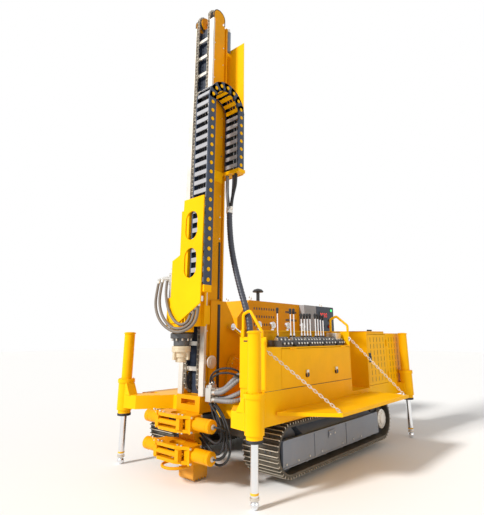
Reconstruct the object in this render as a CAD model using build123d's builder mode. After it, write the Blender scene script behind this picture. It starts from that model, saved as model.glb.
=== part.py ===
"""Anchor drilling rig on tracks: a tilting and sliding mast on a tracked carrier that stands on four jacks.

Millimetres. X points to the operator's side, Y to the rear and Z up. The origin is on the floor,
on the centre line, midway between the two front jacks.
"""

from math import cos, pi, radians, sin
import os

from build123d import *

os.makedirs("parts", exist_ok=True)

# Undercarriage
track_bottom = 85
track_height = 500
track_front = 350
track_length = 2585
track_inner_x = 540
shoe_width = 430
belt = 24
grouser = 22
shoe_count = 42
wheel_gap = 1
roller_radius = 62
roller_count = 5

# Main frame
deck_half = 950
deck_front = 300
deck_rear = 3640
deck_bottom = 590
deck_top = 745
deck_plate = 12
side_beam = (850, 950)
inner_beam = (215, 330)
notch_end = 780

# Jacks
jack_front = (1000, 0)
jack_rear = (1050, 3420)
guide_radius = 88
guide_bottom = 571
collar_z = 898
barrel_radius = 62
barrel_top = 1440
rod_radius = 35
rod_gap = 0.05
rod_top = 930
ball_radius = 38
ball_flat = 2
arm_z = (600, 745)

# Console on the operator's side
panel = 12
door_panel = 20
door_gap = 5
hinge_radius = 8
hinge_leaf = (14, 4)
hinge_length = 45
slide_gap = 0.3
console_x = (650, 950)
console_y = (200, 1924)
console_top = 1290
console_split = 892
front_panel_top = 1390
gauge_rail_z = 1460

# Rear cabinet, hood and electrical box
cabinet_x = (475, 950)
cabinet_y = (2400, 3640)
cabinet_top = 1440
hood_x = (-950, -310)
hood_y = (1190, 3640)
hood_top = 1890
hood_slope_start = 1640
hood_slope_run = 250
electric_x = (-310, -210)
electric_y = (2667, 3583)
electric_z = (1470, 1885)

# Platform
platform_top = 707
platform_axis = (962, 703)
platform_inner_y = (360, 2350)
platform_outer_y = (700, 2350)
platform_outer_x = 1480
platform_lip = 34
platform_floor = 6
platform_knuckle = 8
platform_hinges = (520, 1320, 2120)
platform_tab = (60, 50)
chain_radius = 7

# Mast
pivot = (554, 1106)
mast_half = 180
mast_front = 150
mast_rear = 350
mast_bottom = 800
mast_top = 5480
mast_wall = 15
recess_half = 122
recess_depth = 65
rail_x = (130, 200)
rail_front = 122
chain_x = (85, 118)
feed_chain = 24
sprocket_z = (mast_bottom + 132, mast_top + 93)
sprocket_pitch = 127
cheek_radius = 108

# Drill head and drag chain
axis_y = -20
carriage_z = (1500, 2860)
carriage_plate = (87, 117)
head_z = (1500, 1800)
spindle_bottom = 1134
drag_x = (208, 436)
drag_height = 104
drag_radius = 246
drag_centre = (174, 4082)
drag_front_end = 1907
drag_back_end = 3340
drag_pitch = 109
drag_band = 18

# Clamps
clamp_z = (300, 572)
clamp_half = 250
clamp_reach = 495


def keep(piece, name):
    """Label a finished piece and write it."""
    piece.part.label = name
    export_step(piece.part, f"parts/{name}.step")


def block(x, y, z, mode=Mode.ADD):
    """Box between a low and a high value on each axis."""
    middle = [(low + high) / 2 for low, high in (x, y, z)]
    with Locations(tuple(middle)):
        Box(x[1] - x[0], y[1] - y[0], z[1] - z[0], mode=mode)


def rod(start, end, radius, mode=Mode.ADD):
    """Round bar from one point to another."""
    line = Vector(*end) - Vector(*start)
    with Locations(Plane(origin=start, z_dir=line)):
        Cylinder(radius, line.length, align=(Align.CENTER, Align.CENTER, Align.MIN), mode=mode)


def plate_x(points, x, mode=Mode.ADD):
    """Outline of (Y, Z) points, as thick as the span x."""
    with BuildSketch(Plane.YZ.offset(x[0])) as outline:
        with BuildLine():
            Polyline(*points, close=True)
        make_face()
    extrude(outline.sketch, amount=x[1] - x[0], mode=mode)


def plate_z(points, z, mode=Mode.ADD):
    """Outline of (X, Y) points, as thick as the span z."""
    with BuildSketch(Plane.XY.offset(z[0])) as outline:
        with BuildLine():
            Polyline(*points, close=True)
        make_face()
    extrude(outline.sketch, amount=z[1] - z[0], mode=mode)


def plate_y(points, y, mode=Mode.ADD):
    """Outline of (X, Z) points, as thick as the span y."""
    with BuildSketch(Plane.XZ.offset(-y[0])) as outline:
        with BuildLine():
            Polyline(*points, close=True)
        make_face()
    extrude(outline.sketch, amount=y[0] - y[1], mode=mode)


def both(span, side):
    """A span of X given for the +X side, on either side."""
    return span if side > 0 else (-span[1], -span[0])


def hinge_half(origin, toward, outward, start, side):
    """Knuckle and leaf of a butt hinge from start along its pin: side 1 on the door, -1 on its frame."""
    plane = Plane(origin=origin, x_dir=toward, z_dir=Vector(*toward).cross(Vector(*outward)))
    with BuildSketch(plane.offset(start)) as half:
        with Locations((0, hinge_radius + slide_gap)):
            Circle(hinge_radius)
        with Locations((side * hinge_leaf[0] / 2, hinge_leaf[1] / 2)):
            Rectangle(*hinge_leaf)
    extrude(half.sketch, amount=hinge_length)


def hinges(origin, toward, outward, starts, side):
    """Butt hinges along one edge: the frame's knuckle stands on the door's at each start."""
    for start in starts:
        hinge_half(origin, toward, outward, start + (0 if side > 0 else hinge_length + slide_gap), side)


def loop_point(distance, radius, straight, out):
    """Point on a closed loop of two straights and two half rounds, and out from it, about its centre."""
    arc = pi * radius
    distance %= 2 * (straight + arc)
    if distance < straight:
        return distance - straight / 2, radius + out
    distance -= straight
    if distance < arc:
        turn = distance / radius
        return straight / 2 + (radius + out) * sin(turn), (radius + out) * cos(turn)
    distance -= arc
    if distance < straight:
        return straight / 2 - distance, -radius - out
    turn = (distance - straight) / radius
    return -straight / 2 - (radius + out) * sin(turn), -(radius + out) * cos(turn)


# Tracks: one closed loop each, with the shoes and their grousers in its outline
track_radius = track_height / 2 - grouser
track_straight = track_length - track_height
track_centre = (track_front + track_length / 2, track_bottom + track_height / 2)
shoe_pitch = 2 * (track_straight + pi * track_radius) / shoe_count
shoe_profile = (  # share of the pitch, height over the shoe
    (0.00, -6),
    (0.06, 0),
    (0.44, 0),
    (0.48, grouser),
    (0.56, grouser),
    (0.60, 0),
    (0.94, 0),
)
shoe_outline = [
    loop_point((shoe + share) * shoe_pitch, track_radius, track_straight, height)
    for shoe in range(shoe_count)
    for share, height in shoe_profile
]
for name, side in (("track_right", 1), ("track_left", -1)):
    low_x = both((track_inner_x, track_inner_x + shoe_width), side)[0]
    with BuildPart() as track:
        with BuildSketch(Plane(origin=(low_x, *track_centre), x_dir=(0, 1, 0), z_dir=(1, 0, 0))):
            with BuildLine():
                Polyline(*shoe_outline, close=True)
            make_face()
            SlotCenterToCenter(track_straight, 2 * (track_radius - belt), mode=Mode.SUBTRACT)
        extrude(amount=shoe_width)
    keep(track, name)

# Track frames: box beam with a sloping top between two skirts
wheel_radius = track_radius - belt - wheel_gap
wheel_y = (track_front + track_height / 2, track_front + track_length - track_height / 2)
skirt_inner = (track_inner_x + 90, track_inner_x + 120)
skirt_outer = (track_inner_x + shoe_width - 45, track_inner_x + shoe_width - 15)
skirt_y = (track_front + 120, wheel_y[1] - 125)
beam_y = (wheel_y[0] + wheel_radius + 50, wheel_y[1] - wheel_radius - 50)
beam_z = (track_bottom + 225, track_bottom + track_height - 60)
skirt_z = (track_bottom + 105, track_bottom + 350)
with BuildPart() as track_frames:
    for side in (1, -1):
        with BuildSketch(Plane.XZ.offset(-beam_y[0])) as section:
            with BuildLine():
                Polyline(
                    (side * skirt_inner[1], beam_z[0]),
                    (side * skirt_outer[0], beam_z[0]),
                    (side * skirt_outer[0], skirt_z[1]),
                    (side * (skirt_outer[0] - 130), beam_z[1]),
                    (side * skirt_inner[1], beam_z[1]),
                    close=True,
                )
            make_face()
        extrude(section.sketch, amount=beam_y[0] - beam_y[1])
        block(both(skirt_outer, side), skirt_y, skirt_z)
        block(both(skirt_inner, side), skirt_y, skirt_z)
keep(track_frames, "track_frames")

# Idlers, sprockets and bottom rollers on their shafts, between the skirts
roller_z = track_bottom + grouser + belt + wheel_gap + roller_radius
roller_span = beam_y[1] - beam_y[0] - 2 * roller_radius
wheels = [(y, track_centre[1], wheel_radius, 90) for y in wheel_y]
wheels += [
    (beam_y[0] + roller_radius + place * roller_span / (roller_count - 1), roller_z, roller_radius, 60)
    for place in range(roller_count)
]
with BuildPart() as running_gear:
    for side in (1, -1):
        for y, z, radius, half_width in wheels:
            middle = (skirt_inner[1] + skirt_outer[0]) / 2
            shaft_end = skirt_outer[0] if y < skirt_y[1] else skirt_outer[1]
            shaft_start = skirt_inner[1] if y < skirt_y[1] else skirt_inner[0]
            rod((side * shaft_start, y, z), (side * shaft_end, y, z), 30)
            rod((side * (middle - half_width), y, z), (side * (middle + half_width), y, z), radius)
keep(running_gear, "running_gear")

# Carrier between the tracks, with two beams that pass through each track loop to its frame
carrier_half = track_inner_x - 5
carrier_y = (1000, 2400)
cross_beams = ((1100, 1400), (2000, 2300))
cross_z = (track_bottom + 215, track_bottom + 345)
with BuildPart() as carrier:
    block((-carrier_half, carrier_half), carrier_y, (cross_z[0] - 60, deck_bottom))
    for span in cross_beams:
        block((-skirt_inner[0], skirt_inner[0]), span, cross_z)
keep(carrier, "carrier")

def platform_hinge(y, leaf_x):
    """Knuckle on the platform's pin over the span y, with its leaf."""
    x, z = platform_axis
    rod((x, y[0], z), (x, y[1], z), platform_knuckle)
    block(leaf_x, y, (z - 4, z + 4))


# Main frame: side beams, inner beams either side of the mast's notch, cross beams and floor plate
deck_z = (deck_bottom, deck_top)
floor_z = (deck_top - deck_plate, deck_top)
with BuildPart() as main_frame:
    for side in (1, -1):
        block(both(side_beam, side), (console_y[0], deck_rear), deck_z)
        block(both(inner_beam, side), (deck_front, deck_rear), deck_z)
        block(both((inner_beam[1], side_beam[0]), side), (deck_front, deck_front + 80), deck_z)
        block(both((inner_beam[0], side_beam[0]), side), (deck_front, deck_rear), floor_z)
    block((-deck_half, deck_half), (deck_rear - 80, deck_rear), deck_z)
    block((-inner_beam[0], inner_beam[0]), (notch_end, notch_end + 60), deck_z)
    block((-inner_beam[0], inner_beam[0]), (notch_end, deck_rear), floor_z)
    for y in platform_hinges:
        tab = (y + platform_tab[0] + slide_gap, y + sum(platform_tab))
        platform_hinge(tab, (deck_half, platform_axis[0]))
keep(main_frame, "main_frame")


# Jack arms: a folded box arm, a guide tube with a collar, a gusset and the cylinder's barrel
def jack_tube(x, y):
    """Guide tube, collar and closed barrel, bored for the rod."""
    rod((x, y, guide_bottom), (x, y, collar_z), guide_radius)
    rod((x, y, collar_z - 30), (x, y, collar_z + 12), guide_radius + 10)
    rod((x, y, guide_bottom - 55), (x, y, guide_bottom), guide_radius - 14)
    rod((x, y, collar_z), (x, y, barrel_top), barrel_radius)
    rod((x, y, barrel_top - 14), (x, y, barrel_top), barrel_radius + 8)


front_arm = (  # X, Y of the arm's plan, from the jack to the main frame
    (jack_front[0], -70),
    (745, -30),
    (480, deck_front),
    (720, deck_front),
    (920, 90),
    (jack_front[0], 80),
)
gusset = (  # X from the jack, Z
    (-170, arm_z[1]),
    (-guide_radius + 20, arm_z[1]),
    (-guide_radius + 20, collar_z - 30),
    (-guide_radius - 8, collar_z - 30),
)
with BuildPart() as front_arms:
    for side in (1, -1):
        x, y = side * jack_front[0], jack_front[1]
        plate_z([(side * px, py) for px, py in front_arm], arm_z)
        jack_tube(x, y)
        plate_y([(x + side * px, pz) for px, pz in gusset], (y - 60, y + 50))
        rod((x, y, guide_bottom - 60), (x, y, barrel_top - 40), rod_radius + rod_gap, mode=Mode.SUBTRACT)
keep(front_arms, "front_arms")

with BuildPart() as rear_arms:
    for side in (1, -1):
        x, y = side * jack_rear[0], jack_rear[1]
        block(both((deck_half, jack_rear[0]), side), (y - 110, y + 110), arm_z)
        jack_tube(x, y)
        rod((x, y, guide_bottom - 60), (x, y, barrel_top - 40), rod_radius + rod_gap, mode=Mode.SUBTRACT)
keep(rear_arms, "rear_arms")

jacks = (  # name, X, Y
    ("jack_rod_front_right", jack_front[0], jack_front[1]),
    ("jack_rod_front_left", -jack_front[0], jack_front[1]),
    ("jack_rod_rear_right", jack_rear[0], jack_rear[1]),
    ("jack_rod_rear_left", -jack_rear[0], jack_rear[1]),
)
for name, x, y in jacks:
    with BuildPart() as jack_rod:
        rod((x, y, 2 * ball_radius - 8), (x, y, rod_top), rod_radius)
        with Locations((x, y, ball_radius - ball_flat)):
            Sphere(ball_radius)
        block((x - ball_radius, x + ball_radius), (y - ball_radius, y + ball_radius), (-ball_radius, 0), Mode.SUBTRACT)
    keep(jack_rod, name)

# Console: hollow cabinet with a tall front panel, a tray for the valves and a rail for the gauges
tray_z = (console_top - panel, console_top)
inside_x = (console_x[0] + panel, console_x[1] - panel)
console_door_y = (console_y[0] + 280, console_y[1] - panel - door_gap)
console_door_z = (console_split + door_gap, console_top - panel - door_gap)
console_hinge = (console_x[1], 0, console_door_z[1] + door_gap / 2), (0, 0, -1), (1, 0, 0)
console_hinge_starts = (-console_door_y[1] + 120, -console_door_y[0] - 240)
with BuildPart() as console_shell:
    block(console_x, (console_y[0], console_y[0] + panel), (deck_top, console_top))
    front_panel_z = (collar_z + 15, front_panel_top)
    block((console_x[0], console_x[1] + 35), (console_y[0] - panel, console_y[0]), front_panel_z)
    block(console_x, (console_y[1] - panel, console_y[1]), (deck_top, console_top))
    block((console_x[0], console_x[0] + panel), console_y, (deck_top, gauge_rail_z))
    block(console_x, console_y, (deck_top, deck_top + panel))
    block(console_x, console_y, tray_z)
    block((console_x[1] - panel, console_x[1]), console_y, (deck_top, console_split))
    door_side_y = (console_y[0], console_door_y[0] - door_gap)
    block((console_x[1] - panel, console_x[1]), door_side_y, (deck_top, console_top))
    block(console_x, (console_y[1] - panel, console_y[1]), (console_top, gauge_rail_z))
    block(
        (console_x[0], console_x[0] + 40),
        (console_y[0] + 20, console_y[1]),
        (gauge_rail_z - panel, gauge_rail_z),
    )
    hinges(*console_hinge, console_hinge_starts, -1)
keep(console_shell, "console_shell")

with BuildPart() as console_door:
    block((console_x[1] - door_panel, console_x[1]), console_door_y, console_door_z)
    for y in (927, 1544):
        rod((console_x[1], y, 1003), (console_x[1] + 22, y, 1003), 24)
        block((console_x[1], console_x[1] + 16), (y - 20, y + 20), (1003, 1050))
    hinges(*console_hinge, console_hinge_starts, 1)
keep(console_door, "console_door")

# Valve bank: a row of valve bodies with their levers, and round gauges on posts on the rail
levers = (  # Y of the lever's foot, height of its knob
    (676, 1704),
    (920, 1706),
    (985, 1708),
    (1137, 1660),
    (1200, 1660),
    (1262, 1662),
    (1324, 1664),
    (1440, 1670),
    (1500, 1668),
    (1560, 1662),
    (1620, 1655),
)
valve_groups = ((560, 760), (830, 1050), (1090, 1370), (1400, 1670), (1720, 1890))
lever_x = 800
with BuildPart() as valve_bank:
    for span in valve_groups:
        block((lever_x - 90, lever_x + 95), span, (console_top, console_top + 70))
        spool_z = console_top + 70
        rod((lever_x + 20, span[0] + 30, spool_z), (lever_x + 20, span[1] - 30, spool_z), 34)
    for y, top in levers:
        rod((lever_x - 45, y, console_top + 60), (lever_x - 45, y, top), 9)
        rod((lever_x - 45, y, top - 60), (lever_x - 45, y, top), 15)
    block((lever_x - 80, lever_x + 60), (1740, 1870), (console_top + 70, console_top + 150))
keep(valve_bank, "valve_bank")

with BuildPart() as gauges:
    for y in (460, 702, 983, 1291):
        rod((console_x[0] + 16, y, gauge_rail_z), (console_x[0] + 16, y, gauge_rail_z + 30), 8)
        rod((console_x[0] - 2, y, gauge_rail_z + 55), (console_x[0] + 34, y, gauge_rail_z + 55), 36)
keep(gauges, "gauges")

# Handrails: bent tubes at both ends of the valve bank
rail_tube = 15
rails = (  # Y, height of the feet, height of the bend above the outer foot
    (console_y[0] - panel / 2, front_panel_top, 1440),
    (console_y[1] - panel / 2, gauge_rail_z, 1530),
)
with BuildPart() as handrails:
    for y, foot, bend in rails:
        rail_points = ((690, foot), (690, 1612), (780, 1650), (935, bend), (935, foot))
        with BuildLine() as path:
            FilletPolyline(*[(px, y, pz) for px, pz in rail_points], radius=36)
        with BuildSketch(Plane(origin=path.line @ 0, z_dir=path.line % 0)) as tube:
            Circle(rail_tube)
        sweep(tube.sketch, path=path.line)
keep(handrails, "handrails")

# Rear cabinet: hollow, with a slotted door and a fixed slotted panel on its outer side
cabinet_door_y = (cabinet_y[0] + 30, 3020)
cabinet_door_z = (deck_top + 25, cabinet_top - 20)
cabinet_grille_y = (3050, cabinet_y[1] - 30)
slot_size = (14, 62)


def slots(y, z, x, columns, rows, size):
    """Rows of upright slots through a wall that spans x."""
    middle = (y[0] + y[1]) / 2, (z[0] + z[1]) / 2
    pitch = (y[1] - y[0]) / (columns + 0.6), (z[1] - z[0]) / (rows + 0.6)
    with BuildSketch(Plane(origin=(x[0], *middle), x_dir=(0, 1, 0), z_dir=(1, 0, 0))) as pattern:
        with GridLocations(pitch[0], pitch[1], columns, rows):
            Rectangle(size[0], size[1])
    extrude(pattern.sketch, amount=x[1] - x[0], mode=Mode.SUBTRACT)


cabinet_hinge = (cabinet_x[1], cabinet_door_y[1] + door_gap / 2, 0), (0, -1, 0), (1, 0, 0)
cabinet_hinge_starts = (cabinet_door_z[0] + 60, cabinet_door_z[1] - 160)
with BuildPart() as rear_cabinet:
    block(cabinet_x, cabinet_y, (deck_top, cabinet_top))
    block(
        (cabinet_x[0] + panel, cabinet_x[1] - panel),
        (cabinet_y[0] + panel, cabinet_y[1] - panel),
        (deck_top + panel, cabinet_top - panel),
        mode=Mode.SUBTRACT,
    )
    block(
        (cabinet_x[1] - 2 * panel, cabinet_x[1]),
        (cabinet_door_y[0] - door_gap, cabinet_door_y[1] + door_gap),
        (cabinet_door_z[0] - door_gap, cabinet_door_z[1] + door_gap),
        mode=Mode.SUBTRACT,
    )
    slots(cabinet_grille_y, cabinet_door_z, (cabinet_x[1] - panel, cabinet_x[1]), 5, 7, slot_size)
    lid_y = (cabinet_y[0] + 60, cabinet_door_y[1])
    block((cabinet_x[0] + 40, cabinet_x[1] - 20), lid_y, (cabinet_top, cabinet_top + 26))
    hinges(*cabinet_hinge, cabinet_hinge_starts, -1)
keep(rear_cabinet, "rear_cabinet")

with BuildPart() as cabinet_door:
    block((cabinet_x[1] - door_panel, cabinet_x[1]), cabinet_door_y, cabinet_door_z)
    slots(cabinet_door_y, cabinet_door_z, (cabinet_x[1] - door_panel, cabinet_x[1]), 5, 7, slot_size)
    hinges(*cabinet_hinge, cabinet_hinge_starts, 1)
keep(cabinet_door, "cabinet_door")

# Hood on the far side: sloping front, louvre rows towards the mast, two doors on the outer side
hood_outline = (
    (hood_y[0], deck_top),
    (hood_y[0], hood_slope_start),
    (hood_y[0] + hood_slope_run, hood_top),
    (hood_y[1], hood_top),
    (hood_y[1], deck_top),
)
hood_inside = (
    (hood_y[0] + panel, deck_top + panel),
    (hood_y[0] + panel, hood_slope_start - panel / 2),
    (hood_y[0] + hood_slope_run + panel / 2, hood_top - panel),
    (hood_y[1] - panel, hood_top - panel),
    (hood_y[1] - panel, deck_top + panel),
)
hood_doors = (  # name, Y from and to
    ("hood_door_front", 1470, 2350),
    ("hood_door_rear", 2380, 3260),
)
hood_door_z = (deck_top + 35, hood_top - 45)
louvre_rows = (  # Y from and to, Z
    (1500, 2040, 1780),
    (1500, 2040, 1670),
    (1500, 2040, 1560),
    (2280, 2600, 1760),
    (2280, 2600, 1640),
)
hood_hinge_starts = (hood_door_z[0] + 120, hood_door_z[1] - 220)
with BuildPart() as hood_shell:
    plate_x(hood_outline, hood_x)
    plate_x(hood_inside, (hood_x[0] + panel, hood_x[1] - panel), mode=Mode.SUBTRACT)
    for _, y_low, y_high in hood_doors:
        block(
            (hood_x[0], hood_x[0] + 2 * panel),
            (y_low - door_gap, y_high + door_gap),
            (hood_door_z[0] - door_gap, hood_door_z[1] + door_gap),
            mode=Mode.SUBTRACT,
        )
        hood_hinge = (hood_x[0], y_low - door_gap / 2, 0), (0, 1, 0), (-1, 0, 0)
        hinges(*hood_hinge, hood_hinge_starts, -1)
    for y_low, y_high, z in louvre_rows:
        slots((y_low, y_high), (z - 24, z + 24), (hood_x[1] - panel, hood_x[1]), 9, 1, (28, 34))
keep(hood_shell, "hood_shell")
for name, y_low, y_high in hood_doors:
    with BuildPart() as hood_door:
        block((hood_x[0], hood_x[0] + door_panel), (y_low, y_high), hood_door_z)
        slot_z = (hood_door_z[0] + 550, hood_door_z[1])
        slots((y_low, y_high), slot_z, (hood_x[0], hood_x[0] + door_panel), 8, 3, (18, 120))
        hinges((hood_x[0], y_low - door_gap / 2, 0), (0, 1, 0), (-1, 0, 0), hood_hinge_starts, 1)
    keep(hood_door, name)

with BuildPart() as power_unit:
    block((hood_x[0] + 110, hood_x[1] - 90), (1750, 2900), (deck_top + panel, 1450))
keep(power_unit, "power_unit")

cap_place = (-500, 1855)
with BuildPart() as rain_cap:
    with BuildSketch(Plane(origin=(*cap_place, hood_top), x_dir=(1, 0, 0), z_dir=(0, -1, 0))) as cap_profile:
        with BuildLine():
            Polyline((0, 0), (26, 0), (26, 160), (80, 152), (84, 168), (60, 194), (12, 208), (0, 208), (0, 0))
        make_face()
    revolve(cap_profile.sketch, axis=Axis((*cap_place, 0), (0, 0, 1)))
keep(rain_cap, "rain_cap")

panel_start = 3020
with BuildPart() as electrical_box:
    block(electric_x, (electric_y[0], panel_start), electric_z)
keep(electrical_box, "electrical_box")
with BuildPart() as control_panel:
    block(electric_x, (panel_start, electric_y[1]), electric_z)
    for y, z, radius in ((3060, 1560, 16), (3060, 1640, 16), (3420, 1560, 24), (3420, 1660, 16), (3250, 1560, 16)):
        rod((electric_x[1], y, z), (electric_x[1] + 8, y, z), radius)
keep(control_panel, "control_panel")

# Platform: folded tray on a hinge along the main frame, held level by two chains
platform_x = (platform_axis[0] + 10, platform_outer_x)
platform_z = (platform_top - platform_lip, platform_top)
tray_outline = (
    (platform_x[0], platform_inner_y[0]),
    (platform_outer_x, platform_outer_y[0]),
    (platform_outer_x, platform_outer_y[1]),
    (platform_x[0], platform_inner_y[1]),
)
with BuildPart() as platform:
    plate_z(tray_outline, platform_z)
    with BuildSketch(Plane.XY.offset(platform_z[0])) as hollow:
        with BuildLine():
            Polyline(*tray_outline, close=True)
        make_face()
        offset(amount=-platform_floor, kind=Kind.INTERSECTION, mode=Mode.REPLACE)
    extrude(hollow.sketch, amount=platform_lip - platform_floor, mode=Mode.SUBTRACT)
    for y in platform_hinges:
        platform_hinge((y, y + platform_tab[0]), (platform_axis[0], platform_x[0] + platform_floor))
keep(platform, "platform")

chain_top_x = console_x[1] + 10
chain_low_x = platform_outer_x - 45
chains = (  # upper eye, lower eye
    ((chain_top_x, console_y[0] + 10, 1270), (chain_low_x, platform_outer_y[0] + 25, 714)),
    ((chain_top_x, console_y[1] - 10, 1365), (chain_low_x, platform_outer_y[1] - 45, 714)),
)
with BuildPart() as platform_chains:
    for upper, lower in chains:
        rod(upper, lower, chain_radius)
        block((console_x[1], upper[0] + 6), (upper[1] - 8, upper[1] + 8), (upper[2] - 12, upper[2] + 12))
        block((lower[0] - 10, lower[0] + 10), (lower[1] - 10, lower[1] + 10), (platform_top, lower[2] + 8))
keep(platform_chains, "platform_chains")

# Mast pivot: two lugs on the inner beams with a pin each, and the clevises of the tilt cylinders
lug_x = (inner_beam[0], inner_beam[0] + 28)
lug_outline = (
    (pivot[0] - 150, deck_top),
    (pivot[0] + 170, deck_top),
    (pivot[0] + 85, pivot[1] + 20),
    (pivot[0] + 45, pivot[1] + 85),
    (pivot[0] - 45, pivot[1] + 85),
    (pivot[0] - 85, pivot[1] + 20),
)
pin_radius = 40
cylinder_x = 258
cylinder_base = (1776, 815)
with BuildPart() as pivot_lugs:
    for side in (1, -1):
        plate_x(lug_outline, both(lug_x, side))
        rod((side * (lug_x[0] - 27), *pivot), (side * (lug_x[1] + 12), *pivot), pin_radius)
        for x in (cylinder_x - 41, cylinder_x + 23):
            plate_x(
                [
                    (cylinder_base[0] - 60, deck_top),
                    (cylinder_base[0] + 60, deck_top),
                    (cylinder_base[0] + 35, cylinder_base[1] + 35),
                    (cylinder_base[0] - 35, cylinder_base[1] + 35),
                ],
                both((x, x + 18), side),
            )
        rod((side * (cylinder_x - 41), *cylinder_base), (side * (cylinder_x + 41), *cylinder_base), 20)
keep(pivot_lugs, "pivot_lugs")

# Tilt frame: two side plates that carry the mast in hooked slides
tilt_plate_x = (190, 210)
eye = (pivot[0] + 400 * cos(radians(100)), pivot[1] + 400 * sin(radians(100)))
tilt_outline = (
    (200, 830),
    (200, 1780),
    (430, 1780),
    (540, 1620),
    (700, 1290),
    (740, 1060),
    (640, 900),
    (480, 830),
)
with BuildPart() as tilt_frame:
    for side in (1, -1):
        plate_x(tilt_outline, both(tilt_plate_x, side))
        block(both((168, tilt_plate_x[0]), side), (mast_rear + 5, mast_rear + 35 - slide_gap), (860, 1740))
        block(both((120, 170), side), (mast_rear + 60 + slide_gap, 420), (860, 1740))
    block((-tilt_plate_x[0], tilt_plate_x[0]), (420, 440), (860, 1740))
    for side in (1, -1):
        rod((side * 180, *pivot), (side * 211, *pivot), pin_radius + 0.05, mode=Mode.SUBTRACT)
keep(tilt_frame, "tilt_frame")

# Tilt cylinders: barrels on the clevises, rods to the tilt frame's upper pins
along = Vector(0, eye[0] - cylinder_base[0], eye[1] - cylinder_base[1]).normalized()
barrel_length = 800
with BuildPart() as tilt_barrels:
    for side in (1, -1):
        base = Vector(side * cylinder_x, *cylinder_base)
        rod((side * (cylinder_x - 22), *cylinder_base), (side * (cylinder_x + 22), *cylinder_base), 34)
        rod(base + along * 20, base + along * 90, 20)
        rod(base + along * 90, base + along * barrel_length, 39)
        rod(base + along * (barrel_length - 60), base + along * barrel_length, 42)
        bore = (side * (cylinder_x - 30), *cylinder_base), (side * (cylinder_x + 30), *cylinder_base)
        rod(*bore, 20.05, mode=Mode.SUBTRACT)
        rod(base + along * 110, base + along * (barrel_length + 10), 24.05, mode=Mode.SUBTRACT)
keep(tilt_barrels, "tilt_barrels")
with BuildPart() as tilt_rods:
    for side in (1, -1):
        end = Vector(side * cylinder_x, *eye)
        rod(end - along * 690, end - along * 10, 24)
        rod((side * (cylinder_x - 22), *eye), (side * (cylinder_x + 22), *eye), 36)
        rod((side * (tilt_plate_x[1] + slide_gap), *eye), (side * (cylinder_x + 40), *eye), 20)
keep(tilt_rods, "tilt_rods")

# Mast: box beam with an open front recess, slide rails behind and cheeks at its top
rear_rail_web = (140, 160)
rear_rail_head = (110, 180)
mast_middle = (mast_front + mast_rear) / 2
chain_pockets = (  # Z from and to
    (mast_bottom, sprocket_z[0] + sprocket_pitch),
    (sprocket_z[1] - sprocket_pitch, mast_top),
)
with BuildPart() as mast_beam:
    block((-mast_half, mast_half), (mast_front, mast_rear), (mast_bottom, mast_top))
    recess_y = (mast_front, mast_front + recess_depth)
    block((-recess_half, recess_half), recess_y, (mast_bottom, mast_top), mode=Mode.SUBTRACT)
    block(
        (-mast_half + mast_wall, mast_half - mast_wall),
        (mast_front + recess_depth + mast_wall, mast_rear - mast_wall),
        (mast_bottom + 300, mast_top - 300),
        mode=Mode.SUBTRACT,
    )
    for side in (1, -1):
        block(both(rear_rail_web, side), (mast_rear, mast_rear + 35), (mast_bottom, mast_top))
        block(both(rear_rail_head, side), (mast_rear + 35, mast_rear + 60), (mast_bottom, mast_top))
        for cheek in ((mast_half - mast_wall, mast_half), (60, 75)):
            block(both(cheek, side), (mast_front + 40, mast_rear - 40), (mast_top, sprocket_z[1]))
            low_x, high_x = both(cheek, side)
            rod((low_x, mast_middle, sprocket_z[1]), (high_x, mast_middle, sprocket_z[1]), cheek_radius - 8)
        for low, high in chain_pockets:
            pocket_x = both((chain_x[0] - 5, chain_x[1] + 5), side)
            block(pocket_x, (mast_front, mast_rear), (low, high), mode=Mode.SUBTRACT)
keep(mast_beam, "mast_beam")

# Guide rails on the mast's front corners, with the cross bars that tie them
cross_bar_pitch = 262
cross_bars = int((mast_top - mast_bottom) / cross_bar_pitch)
with BuildPart() as guide_rails:
    for side in (1, -1):
        block(both(rail_x, side), (rail_front, mast_front), (mast_bottom, mast_top))
keep(guide_rails, "guide_rails")
with BuildPart() as cross_bar_row:
    for place in range(cross_bars):
        z = mast_bottom + 260 + place * cross_bar_pitch
        block((-recess_half, recess_half), (mast_front + 12, mast_front + 26), (z - 22, z + 22))
keep(cross_bar_row, "cross_bars")

# Feed chains: one closed loop each over the top and bottom sprockets
chain_straight = sprocket_z[1] - sprocket_z[0]
with BuildPart() as feed_chains:
    for side in (1, -1):
        low_x, high_x = both(chain_x, side)
        centre = (low_x, mast_middle, (sprocket_z[0] + sprocket_z[1]) / 2)
        with BuildSketch(Plane(origin=centre, x_dir=(0, 0, 1), z_dir=(1, 0, 0))) as loop:
            SlotCenterToCenter(chain_straight, 2 * sprocket_pitch)
            SlotCenterToCenter(chain_straight, 2 * (sprocket_pitch - feed_chain), mode=Mode.SUBTRACT)
        extrude(loop.sketch, amount=high_x - low_x)
        for z in sprocket_z:
            rod((low_x + 6, mast_middle, z), (high_x - 6, mast_middle, z), sprocket_pitch - feed_chain)
            shaft = (chain_x[0] - 5, chain_x[1] + 5) if z < mast_top else (75, mast_half - mast_wall)
            shaft = both(shaft, side)
            rod((shaft[0], mast_middle, z), (shaft[1], mast_middle, z), 22)
keep(feed_chains, "feed_chains")

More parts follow.
